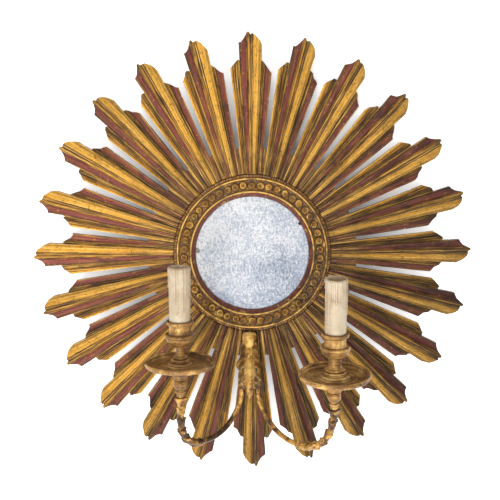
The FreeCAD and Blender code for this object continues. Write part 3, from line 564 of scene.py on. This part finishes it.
def skin(rows, close_long=True):
    """Mesh from rows of points: each row closes on itself, and the last joins the first if asked."""
    bm = bmesh.new()
    verts = [[bm.verts.new(p) for p in row] for row in rows]
    count = len(rows[0])
    last = len(rows) if close_long else len(rows) - 1
    for i in range(last):
        a = verts[i]
        b = verts[(i + 1) % len(rows)]
        for j in range(count):
            k = (j + 1) % count
            bm.faces.new((a[j], a[k], b[k], b[j]))
    return bm, verts


def to_mesh(bm, name):
    bmesh.ops.recalc_face_normals(bm, faces=bm.faces)
    me = bpy.data.meshes.new(name)
    bm.to_mesh(me)
    bm.free()
    return me


def candle_frame(side):
    """Matrix from a candle's own axis (mm) to the model (m)."""
    x, forward, z = side["pan"]
    turn = Matrix.Rotation(math.radians(side["lean"]), 4, "X")
    return Matrix.Scale(MM, 4) @ Matrix.Translation((x, -(RIDGE + forward), z)) @ turn


def smooth(t):
    t = max(0.0, min(1.0, t))
    return t * t * (3 - 2 * t)


def angles(count):
    """Even steps once round, in radians."""
    return [2 * math.pi * j / count for j in range(count)]


def wrap(angle):
    """The same angle, between half a turn back and half a turn on."""
    return (angle + math.pi) % (2 * math.pi) - math.pi


RUNS = 16               # wax runs round a sleeve
SLEEVE_AROUND = 220
SLEEVE_STEPS = 115
SLEEVE_SEAT = 0.02      # mm between the sleeve's foot and its seat


def candle_sleeve(name, side, seed):
    """Hollow sleeve with wax runs that start at the melted lip."""
    rnd = random.Random(seed)
    base, top, r_out, r_in = 46.0, 114.0, 13.0, 11.0
    runs = []
    for i in range(RUNS):
        runs.append(dict(at=math.radians(i * 360.0 / RUNS) + rnd.uniform(-0.12, 0.12),
                         length=rnd.choice([7, 12, 18, 26, 34, 44, 52]) + rnd.uniform(-2, 2),
                         width=rnd.uniform(0.06, 0.10),
                         proud=rnd.uniform(0.6, 1.0),
                         dark=rnd.uniform(0.25, 1.0),
                         drift=rnd.uniform(-0.0015, 0.0015)))
    place = candle_frame(side)
    rows = []
    stains = []
    for i in range(SLEEVE_STEPS + 1):
        h = base + SLEEVE_SEAT + (top - base - 1.2) * i / SLEEVE_STEPS
        row = []
        for a in angles(SLEEVE_AROUND):
            bulge = 0.0
            # the stain value is painted shade beside and under each run; it is also darker in a band below
            # the lip
            stain = 0.85 * smooth((h - top + 3.2) / 2.0)
            for run in runs:
                d = wrap(a - run["at"] - run["drift"] * (top - h))
                low = top - run["length"]
                fade = smooth((h - low) / 1.6)
                knob = 0.5 * math.exp(-((h - low - 1.8) / 1.7) ** 2)
                wide = run["width"] * (1.0 + 0.5 * knob + 0.4 * smooth((h - top + 6) / 6))
                shape = max(0.0, 1.0 - (d / wide) ** 2) ** 0.6
                bulge = max(bulge, (run["proud"] * fade + knob) * shape)
                beside = math.exp(-((abs(d) / wide - 1.05) / 0.28) ** 2) * smooth((h - low + 0.6) / 1.2)
                under = math.exp(-((h - low + 1.0) / 0.7) ** 2 - (d / wide) ** 2)
                stain = max(stain, run["dark"] * max(beside, under))
            r = r_out - 0.42 + min(bulge, 1.15)
            r += 0.14 * noise.noise(Vector((math.cos(a) * 3, math.sin(a) * 3, h * 0.12 + seed)))
            row.append(place @ Vector((r * math.cos(a), r * math.sin(a), h)))
            stains.append(stain)
        rows.append(row)
    lip = [(top - 0.7, r_out - 0.35), (top - 0.3, r_out - 0.6), (top - 0.05, r_out - 1.0),
           (top - 0.1, r_in + 0.5), (top - 0.6, r_in + 0.1)]
    for h, r in lip + [(top - 4, r_in), (base + SLEEVE_SEAT, r_in)]:
        row = []
        for a in angles(SLEEVE_AROUND):
            dip = 0.0
            if h > top - 1:
                dip = 0.9 * noise.noise(Vector((math.cos(a) * 1.6, math.sin(a) * 1.6, seed)))
            row.append(place @ Vector((r * math.cos(a), r * math.sin(a), h - abs(dip))))
            # the lip and the inside: painted shade inside the bore, darker round the lip
            stains.append(0.85 if h > top - 5 else 0.4)
        rows.append(row)
    bm, _ = skin(rows)
    layer = bm.verts.layers.float.new("stain")
    for v, value in zip(bm.verts, stains):
        v[layer] = value
    return new_piece(name, to_mesh(bm, name), WAX, name.replace("_wax_sleeve", "_sleeve"),
                     name.replace("_wax_sleeve", "_candle_sleeve"))


for n, (label, side) in enumerate(SIDES.items()):
    candle_sleeve(label + "_wax_sleeve", side, 11 + n)


# ---- rays
TIP = 280.0             # radii in mm: tip of a ray
SLOT_INNER = 134.0      # inner end of the gap between two rays
TONGUE_END = 86.4       # inner end of a ray, under the ring
RING_EDGE = 100.4       # where a ray comes out from under the ring
BACK = 19.0             # mm forward of the wall: back of the rays
BACK_GAP = 0.02
STRIP_EDGES = [-5.9, -2.83, 3.67, 7.05]     # degrees: edges of the three strips of a ray
BED_HALF, BED_LOW, BED_HIGH = 9.6, -172.6, -101.0       # bed for the bracket in the lowest ray
LOWEST_RAY = 12
SECTION_RADIUS = 200.0
# degrees across a ray, and how far the surface lies below the ridge at SECTION_RADIUS
SECTION = [
    (-7.0, 8.6), (-5.3, 8.6), (-5.15, 9.6), (-4.75, 9.65), (-4.35, 9.2), (-4.2, 7.4), (-3.95, 8.3),
    (-3.55, 8.7), (-3.2, 8.1), (-2.95, 6.9), (-2.83, 4.2), (-2.45, 4.1), (-2.0, 4.1), (-1.35, 3.5),
    (-0.8, 2.2), (-0.35, 0.3), (-0.2, 0.0), (0.3, 0.0), (0.45, 1.1), (0.6, 0.2), (1.1, 0.2), (1.25, 1.2),
    (1.4, 0.7), (1.9, 0.7), (2.35, 1.2), (2.9, 2.1), (3.2, 3.3), (3.35, 4.1), (3.67, 4.1), (3.8, 7.5),
    (4.2, 7.2), (4.3, 8.2), (4.4, 7.2), (4.8, 7.2), (4.95, 8.7), (5.5, 9.3), (6.0, 9.7), (6.5, 9.7),
    (7.0, 9.3), (8.3, 9.3),
]


def along(points, x):
    """Height of a line through the points, at x."""
    if x <= points[0][0]:
        return points[0][1]
    for (x0, y0), (x1, y1) in zip(points, points[1:]):
        if x <= x1:
            return y0 + (y1 - y0) * (x - x0) / (x1 - x0)
    return points[-1][1]


def ray_ends(rnd):
    """Where the three strips of a ray stop, as degrees against distance short of the tip."""
    def cut(v, spread):
        return v + rnd.uniform(0.0, spread)

    left = [(-5.9, cut(46.3, 3.0)), (-5.2, cut(42.5, 1.5)), (-4.25, cut(37.2, 2.0)), (-3.7, cut(34.9, 1.5)),
            (-3.35, cut(34.0, 2.5)), (-2.83, cut(35.0, 3.0))]
    top = [(-2.83, cut(14.0, 1.5)), (-2.2, cut(13.0, 1.0)), (-1.4, cut(9.4, 1.5)), (-0.75, cut(4.5, 1.5)),
           (-0.32, cut(0.0, 0.7)), (0.08, cut(0.9, 1.2)), (0.45, cut(4.2, 1.2)), (0.95, cut(3.0, 1.8)),
           (1.6, cut(4.2, 1.6)), (2.35, cut(7.6, 1.8)), (3.0, cut(11.2, 2.0)), (3.67, cut(17.5, 3.0))]
    right = [(3.67, cut(35.8, 3.0)), (4.25, cut(38.0, 2.0)), (4.7, cut(39.8, 1.5)), (5.5, cut(44.8, 2.0)),
             (6.3, cut(48.5, 1.5)), (7.05, cut(50.0, 3.5))]
    return left, top, right


def ray_mesh(name, index):
    """One carved ray: fluted front, jagged end, straight sides and a flat back."""
    rnd = random.Random(700 + index * 17)
    left, top, right = ray_ends(rnd)
    heading = math.radians(RAY_TURN + index * PITCH)
    joint_l, joint_r = LEFT_JOINT + 0.03, LEFT_JOINT + PITCH - 0.03
    bow = rnd.uniform(-0.16, 0.16)
    lean = rnd.uniform(-0.12, 0.12)
    notches = [(rnd.choice(STRIP_EDGES), rnd.uniform(150, 262), rnd.uniform(0.8, 2.4)) for _ in range(5)]
    inner = [(joint_l, TIP - SLOT_INNER), (-5.9, TIP - SLOT_INNER)]
    outer = [(7.05, TIP - SLOT_INNER), (joint_r, TIP - SLOT_INNER)]
    blocks = []
    for ends in (inner, left, top, right, outer):
        lo, hi = ends[0][0], ends[-1][0]
        keys = sorted({lo, hi} | {d for d, _ in ends} | {d for d, _ in SECTION if lo < d < hi})
        fine = []
        for d0, d1 in zip(keys, keys[1:]):
            parts = max(1, int(round((d1 - d0) / 0.24)))
            fine += [d0 + (d1 - d0) * k / parts for k in range(parts)]
        blocks.append((fine + [hi], ends))
    stops = sorted({TONGUE_END, 93.0, RING_EDGE - 0.1, RING_EDGE + 0.05, SLOT_INNER}
                   | {TIP - e[-1][1] for e in (left, top)} | {TIP - e[0][1] for e in (top, right)}
                   | {RING_EDGE + 2.0 * k for k in range(1, 90)})
    bm = bmesh.new()
    for degrees, ends in blocks:
        grid = []
        for stop in stops:
            row = []
            for deg in degrees:
                reach = TIP - along(ends, deg)
                r = min(stop, reach)
                flat = smooth((r - SLOT_INNER) / 40.0)
                v = r * ((1 - flat) * math.cos(math.radians(deg)) + flat)
                far = smooth((r - 105.0) / 60.0)
                here = Vector((deg * 0.9, r * 0.045, index * 3.1))
                sway = bow * math.sin((r - 105) / 56.0) + lean * 0.5 + 0.07 * noise.noise(here * 1.7)
                turn = max(joint_l, min(joint_r, deg + far * sway))
                u = v * math.tan(math.radians(turn))
                for at_deg, at_v, size in notches:
                    d = math.hypot(u - at_v * math.tan(math.radians(at_deg)), v - at_v)
                    if d < size:
                        u += (size - d) * (-0.5 if at_deg > 0 else 0.5)
                lift = RIDGE - along(SECTION, deg) * v / SECTION_RADIUS
                grain = noise.noise(Vector((u * 0.9, v * 0.09, index * 5.0)))
                dent = noise.noise(Vector((u * 0.16, v * 0.11, index * 9.0)))
                lift += far * (0.22 * grain + 0.45 * min(0.0, dent)) - 0.12
                end = smooth(1.0 - (reach - r) / 2.2) if r > 200 else 0.0
                lift -= end * (0.5 + 0.9 * abs(noise.noise(Vector((u * 0.35, index, 2.0)))))
                if math.hypot(u, v) < RING_EDGE:
                    lift = min(lift, BACK + 8.0)
                x = u * math.cos(heading) + v * math.sin(heading)
                z = v * math.cos(heading) - u * math.sin(heading)
                if index == LOWEST_RAY and abs(x - LEAF_X) < BED_HALF and BED_LOW < z < BED_HIGH:
                    lift = min(lift, BACK + 7.0)
                row.append(bm.verts.new((x * MM, -lift * MM, z * MM)))
            grid.append(row)
        for a, b in zip(grid, grid[1:]):
            for k in range(len(degrees) - 1):
                quad = (a[k], a[k + 1], b[k + 1], b[k])
                if (a[k].co - b[k].co).length > 1e-7 or (a[k + 1].co - b[k + 1].co).length > 1e-7:
                    bm.faces.new(quad)
    bmesh.ops.remove_doubles(bm, verts=bm.verts, dist=2e-6)
    bmesh.ops.dissolve_degenerate(bm, edges=bm.edges, dist=1e-6)
    loose = [v for v in bm.verts if not v.link_faces]
    bmesh.ops.delete(bm, geom=loose, context="VERTS")
    rim = [e for e in bm.edges if len(e.link_faces) == 1]
    made = bmesh.ops.extrude_edge_only(bm, edges=rim)["geom"]
    back = -(BACK + BACK_GAP) * MM
    for v in made:
        if isinstance(v, bmesh.types.BMVert):
            v.co.y = back
    sides = [f for f in bm.faces if any(abs(v.co.y - back) < 1e-7 for v in f.verts)]
    base = [e for e in made if isinstance(e, bmesh.types.BMEdge) and len(e.link_faces) == 1]
    bmesh.ops.contextual_create(bm, geom=base)
    for e in rim:
        e.smooth = False
    for f in bm.faces:
        f.smooth = True
    for f in sides:
        f.smooth = False
    return to_mesh(bm, name)


for i in range(RAY_COUNT):
    label = "carved_ray_%02d" % (i + 1)
    new_piece(label, ray_mesh(label, i), RAYS, "mirror_frame", "ray_%02d" % (i + 1), False)


# ---- beaded ring
BEADS = 50
BEAD_CIRCLE = 86.7      # mm: radius of the circle of beads
BEAD_RADIUS = 4.9
BAND = 35.9             # mm forward of the wall: floor of the band that carries the beads
RING_FRONT = 40.9       # mm forward of the wall: the ring's foremost point
# radius against height forward of the wall, mm
RING_SECTION = [
    (72.7, 33.3), (73.2, 33.7), (74.2, 34.4), (75.4, 35.8), (76.6, 37.6), (77.0, 38.1), (77.25, 39.0),
    (77.8, 39.65), (78.4, 39.85), (79.0, 39.65), (79.55, 39.0), (79.8, 37.4), (80.3, 36.5), (82.0, 36.1),
    (86.7, 35.9), (91.4, 36.1), (93.1, 36.5), (93.6, 37.4), (93.85, 39.0), (94.4, 39.65), (95.0, 39.85),
    (95.6, 39.65), (96.15, 39.0), (96.4, 37.2), (96.8, 35.6), (97.6, 34.9), (98.8, 34.5), (99.9, 34.2),
]


def ring_mesh(name):
    """Turned ring with rosettes: each has a raised rim round a small hollow with a seed in it."""
    rnd = random.Random(31)
    beads = [(rnd.uniform(-0.35, 0.35), rnd.uniform(-0.009, 0.009), rnd.uniform(0.94, 1.1),
              rnd.uniform(-0.6, 0.2), rnd.uniform(-0.9, 0.9)) for _ in range(BEADS)]
    around = angles(BEADS * 26)
    radii = []
    for (r0, _), (r1, _) in zip(RING_SECTION, RING_SECTION[1:]):
        parts = max(1, int(round((r1 - r0) / 0.42)))
        radii += [r0 + (r1 - r0) * k / parts for k in range(parts)]
    radii.append(RING_SECTION[-1][0])
    rows = []
    for r in radii:
        row = []
        for a in around:
            k = int(round(a / (2 * math.pi) * BEADS)) % BEADS
            dr, da, size, up, tilt = beads[k]
            size *= 1.0 + 0.05 * math.sin(7.0 * a * BEADS + k)
            off = wrap(a - 2 * math.pi * k / BEADS - da)
            u, w = off * BEAD_CIRCLE, r - BEAD_CIRCLE - dr
            d = math.hypot(u, w) / (BEAD_RADIUS * size)
            lift = along(RING_SECTION, r)
            if d < 1.0:
                dome = 4.6 * math.sqrt(max(0.0, 1.0 - d ** 2.6))
                cup = -2.3 * smooth((0.60 - d) / 0.26) + 1.2 * smooth((0.24 - d) / 0.2)
                ripple = 0.22 * math.cos(7 * math.atan2(w, u) + k)
                petals = ripple * smooth((d - 0.4) / 0.3) * smooth((1.0 - d) / 0.25)
                lift = max(lift, BAND + dome + cup + petals + up + tilt * u / 5.0)
            p = Vector((r * math.sin(a) * 0.3, r * math.cos(a) * 0.3, 4.0))
            lift += 0.16 * noise.noise(p) + 0.10 * noise.noise(p * 3.1)
            rad = r + 0.10 * noise.noise(p * 0.9 + Vector((9, 0, 0))) if 73 < r < 98 else r
            row.append((rad * math.sin(a) * MM, -min(lift, RING_FRONT) * MM, rad * math.cos(a) * MM))
        rows.append(row)
    for r, lift in ((99.95, 27.05), (76.4, 27.05), (76.4, 32.04), (72.9, 32.04)):
        rows.append([(r * math.sin(a) * MM, -lift * MM, r * math.cos(a) * MM) for a in around])
    bm, _ = skin(rows)
    return to_mesh(bm, name)


new_piece("beaded_ring", ring_mesh("beaded_ring"), RING, "mirror_frame", "bead_ring")


# ---- leaf over the arms' roots
LEAF_ROWS = [
    (-99.0, 3.0, -8.0), (-105.0, 12.0, -8.0), (-111.0, 14.0, -7.0), (-119.0, 14.5, -5.0),
    (-130.0, 22.0, 3.0), (-142.0, 35.0, 18.0), (-152.0, 43.0, 30.0), (-160.0, 45.0, 33.0),
    (-170.0, 43.0, 33.0), (-184.0, 36.0, 30.0),
]
# height on the wall against half-width, falling
LEAF_HALF = [
    (-100.9, 3.5), (-101.3, 6.0), (-102.4, 7.6), (-104.5, 8.9), (-109.0, 9.2), (-114.0, 9.0), (-118.0, 9.8),
    (-124.0, 10.8), (-130.0, 11.6), (-136.0, 13.0), (-139.5, 15.4), (-142.0, 17.0), (-143.5, 16.6),
    (-145.0, 13.6), (-147.5, 12.4), (-151.0, 13.2), (-155.0, 14.2), (-160.0, 14.6), (-163.5, 14.2),
    (-165.4, 13.0), (-166.4, 11.2), (-167.0, 8.0), (-167.4, 5.0), (-170.0, 4.6), (-174.0, 3.9),
    (-178.0, 2.4), (-180.2, 1.0),
]
RIB_HALF = [
    (-100.9, 5.6), (-104.0, 8.0), (-108.0, 8.1), (-113.0, 7.0), (-119.0, 5.9), (-127.0, 4.3), (-136.0, 3.5),
    (-148.0, 3.6), (-156.0, 4.2), (-163.0, 4.6), (-170.0, 4.4), (-176.0, 3.2), (-180.2, 1.4),
]


def falling(points, z):
    return along([(-a, b) for a, b in points], -z)


def leaf_mesh(name):
    """Hollow leaf: curled top, rounded midrib, veined side lobes and a drooping tip."""
    columns = 64
    rows = []
    z = LEAF_HALF[0][0]
    while z > LEAF_HALF[-1][0]:
        half = falling(LEAF_HALF, z)
        rib = falling(RIB_HALF, z)
        mid = falling([(a, b) for a, b, _ in LEAF_ROWS], z)
        edge = falling([(a, c) for a, _, c in LEAF_ROWS], z)
        outer = []
        inner = []
        for k in range(columns + 1):
            t = -1.0 + 2.0 * k / columns
            x = half * math.sin(t * math.pi / 2)
            w = abs(x)
            body = edge + (mid - edge) * (1.0 - (x / 17.5) ** 2)
            rim = smooth((half - w) / 2.6)
            valley = 2.6 * smooth((w - rib * 0.75) / 2.0) * smooth((half - w) / 3.0 + 0.15)
            lift = body - valley - 1.6 * (1 - rim)
            if w < rib:
                lift += 2.1 * math.sqrt(max(0.0, 1.0 - (w / rib) ** 2)) - 0.2
                lift += 0.35 * math.sin(z * 1.05) * (1.0 - w / rib) * smooth((-z - 118) / 20)
            elif z > -166:
                vein = math.cos(z * 0.72 + w * 0.75)
                lift += 0.75 * vein * smooth((w - rib) / 2.0)
            p = Vector((x * 0.32, z * 0.32, 7.0))
            lift += 0.35 * noise.noise(p) + 0.2 * noise.noise(p * 2.7)
            x += 0.25 * noise.noise(Vector((2.0, z * 0.8, t * 3.0)))
            lift = max(lift, 0.45)
            outer.append((x, lift))
            inner.append((x * (1 - 1.4 / max(half, 2.0)), max(lift - 1.5, 0.40)))
        loop = [(outer[0][0], 0.35)] + outer + [(outer[-1][0], 0.35)]
        loop += [(inner[-1][0], 0.35)] + inner[::-1] + [(inner[0][0], 0.35)]
        rows.append([((LEAF_X + x) * MM, -(RIDGE + f) * MM, z * MM) for x, f in loop])
        z -= 0.7 if z < -102.5 else 0.25
    bm, verts = skin(rows, False)
    bmesh.ops.contextual_create(bm, geom=verts[0])
    bmesh.ops.contextual_create(bm, geom=verts[-1])
    bmesh.ops.remove_doubles(bm, verts=bm.verts, dist=1e-6)
    return to_mesh(bm, name)


new_piece("curled_leaf", leaf_mesh("curled_leaf"), LEAF, "mirror_frame", "bracket_leaf")


# ---- leafy casings of the arms
class Route:
    """The arm's path: down, a quarter bend, level, a quarter bend, and up to the spigot."""

    def __init__(self, side):
        lean = math.radians(side["lean"])
        self.up = Vector((0, -math.sin(lean), math.cos(lean)))
        x, forward, z = side["pan"]
        self.pan = Vector((x, -(RIDGE + forward), z))
        x, forward, z = side["root"]
        self.root = Vector((x, -(RIDGE + forward), z))
        reach = self.pan + self.up * -31.0 - self.root
        self.rise = reach.dot(self.up)
        flat = reach - self.up * self.rise
        self.span = flat.length
        self.out = flat / self.span
        self.side = self.out.cross(self.up)
        self.r2 = side["outer_bend"]
        self.drop = side["drop"]

    def last_bend(self, s):
        """Point and direction at s mm past the start of the outer bend."""
        bend = self.r2 * math.pi / 2
        if s < bend:
            a = s / self.r2
            h = self.r2 - self.drop - self.r2 * math.cos(a)
            here = self.root + self.out * (self.span - self.r2 + self.r2 * math.sin(a)) + self.up * h
            return here, self.out * math.cos(a) + self.up * math.sin(a)
        here = self.root + self.out * self.span + self.up * (self.r2 - self.drop + s - bend)
        return here, self.up


HUSK_BORE = 3.36        # clear of the arm's tube
BORE_STEPS = 40
SPIGOT_FOOT = 14.0      # length of the spigot below the arm's end


def husk_mesh(name, side, seed):
    """Overlapping leaves wrapped round the arm, ending in a flared calyx under the spigot."""
    route = Route(side)
    top = route.rise - SPIGOT_FOOT - SEAT_GAP
    length = route.r2 * math.pi / 2 + (top - (route.r2 - route.drop))
    around = angles(40)
    scale = length / 6.0
    rows = []
    count = int(length / 0.55)
    for i in range(count + 1):
        s = length * i / count
        here, ahead = route.last_bend(s)
        third = ahead.cross(route.side)
        row = []
        for a in around:
            layer = s / scale
            turn = 1.1 * math.floor(layer) + seed
            lobe = 0.5 + 0.5 * math.cos(3 * a + turn)
            phase = layer - math.floor(layer) - 0.22 * lobe
            phase -= math.floor(phase)
            r = 3.8 + 2.5 * smooth(phase / 0.9) * (0.12 + 0.88 * lobe) * smooth((1.0 - phase) / 0.05)
            r += 0.28 * math.cos(9 * a + s * 0.3)
            r += 0.35 * noise.noise(Vector((math.cos(a) * 1.4, math.sin(a) * 1.4, s * 0.35 + seed)))
            end = smooth((s - (length - 9.0)) / 9.0)
            r += end * 1.9 + end * 0.5 * math.cos(5 * a)
            r = max(3.75, r - 0.5 * smooth((3.0 - s) / 3.0))
            row.append((here + (route.side * math.cos(a) + third * math.sin(a)) * r) * MM)
        rows.append(row)
    for k in range(BORE_STEPS + 1):
        here, ahead = route.last_bend(length - k * length / BORE_STEPS)
        third = ahead.cross(route.side)
        rows.append([(here + (route.side * math.cos(a) + third * math.sin(a)) * HUSK_BORE) * MM
                     for a in around])
    bm, _ = skin(rows)
    return to_mesh(bm, name)


for n, (label, side) in enumerate(SIDES.items()):
    new_piece(label + "_leafy_husks", husk_mesh(label + "_leafy_husks", side, 2.0 + 3.1 * n), ARM,
              "mirror_frame", label + "_arm_husks")


# ------------------------------------------------------------------ stage, light, camera
WHITE_HEIGHTS = (-0.22, 0.22)       # z over which the wall's own white changes from low to high
WHITE_RADII = (0.15, 0.25)          # distance from the centre over which the outer white comes in


def stage_material(name, colour, low, high, outer):
    """Pale surface that keeps shadows; camera, mirror and glass rays also see some white of its own.

    That white is painted light, stronger low down and out past the tips, where it fades the shadows on the
    wall."""
    m = Mat(name)
    nodes = m.tree.nodes
    nodes.remove(m.shader)
    diffuse = nodes.new("ShaderNodeBsdfDiffuse")
    diffuse.inputs["Color"].default_value = colour
    path = nodes.new("ShaderNodeLightPath").outputs
    seen = m.math("MAXIMUM", path["Is Camera Ray"],
                  m.math("MAXIMUM", path["Is Glossy Ray"], path["Is Transmission Ray"]))
    # painted light: more glow low down and out past the tips
    white = m.plus(m.range(m.z, *WHITE_HEIGHTS, low, high), m.range(m.away(), *WHITE_RADII, 0.0, outer))
    glow = nodes.new("ShaderNodeEmission")
    m.link(m.times(seen, white), glow.inputs["Strength"])
    both = nodes.new("ShaderNodeAddShader")
    m.link(diffuse.outputs[0], both.inputs[0])
    m.link(glow.outputs[0], both.inputs[1])
    # seen from behind the wall is clear
    one_sided = nodes.new("ShaderNodeMixShader")
    m.link(nodes.new("ShaderNodeNewGeometry").outputs["Backfacing"], one_sided.inputs[0])
    m.link(both.outputs[0], one_sided.inputs[1])
    m.link(nodes.new("ShaderNodeBsdfTransparent").outputs[0], one_sided.inputs[2])
    m.link(one_sided.outputs[0], nodes["Material Output"].inputs[0])
    return m.mat


def stage_plane(name, corners, material):
    bm = bmesh.new()
    bm.faces.new([bm.verts.new(c) for c in corners])
    me = bpy.data.meshes.new(name)
    bm.to_mesh(me)
    bm.free()
    obj = bpy.data.objects.new(name, me)
    bpy.context.scene.collection.objects.link(obj)
    me.materials.append(material)


WALL_Y = 0.0015
FLOOR_Z = -1.2
PALE = stage_material("pale_wall", (0.86, 0.86, 0.86, 1.0), 0.40, 0.0, 0.64)
stage_plane("wall", [(-4, WALL_Y, FLOOR_Z), (4, WALL_Y, FLOOR_Z), (4, WALL_Y, 3), (-4, WALL_Y, 3)], PALE)
stage_plane("floor", [(-4, -5, FLOOR_Z), (4, -5, FLOOR_Z), (4, WALL_Y, FLOOR_Z), (-4, WALL_Y, FLOOR_Z)], PALE)


def area_light(name, place, target, size, power, colour=(1, 1, 1)):
    data = bpy.data.lights.new(name, "AREA")
    data.shape = "DISK"
    data.size = size
    data.energy = power
    data.color = colour
    obj = bpy.data.objects.new(name, data)
    bpy.context.scene.collection.objects.link(obj)
    obj.location = place
    obj.rotation_euler = (Vector(target) - Vector(place)).to_track_quat("-Z", "Y").to_euler()


area_light("key", (-0.75, -2.2, -0.85), (0, 0, 0), 0.8, 24.0, (1.0, 0.98, 0.95))
area_light("side", (0.95, -2.3, -0.4), (0, 0, 0), 0.7, 7.5, (1.0, 0.99, 0.97))
area_light("fill", (-0.35, -2.0, 1.3), (0, 0, 0), 1.0, 14.5, (0.97, 0.98, 1.0))

world = bpy.data.worlds.new("studio")
bpy.context.scene.world = world
world.use_nodes = True
world.node_tree.nodes["Background"].inputs["Color"].default_value = (1, 1, 1, 1)
world.node_tree.nodes["Background"].inputs["Strength"].default_value = 0.5

bpy.context.scene.view_settings.view_transform = "Standard"

camera_data = bpy.data.cameras.new("camera")
camera = bpy.data.objects.new("camera", camera_data)
bpy.context.scene.collection.objects.link(camera)
camera_data.sensor_width = 36.0
camera_data.lens = 75.0
camera_data.clip_end = 20.0
camera.location = (-0.0028, -1.3568, 0.1372)
camera.rotation_euler = (math.radians(90 - 5.75), 0, 0)
bpy.context.scene.camera = camera
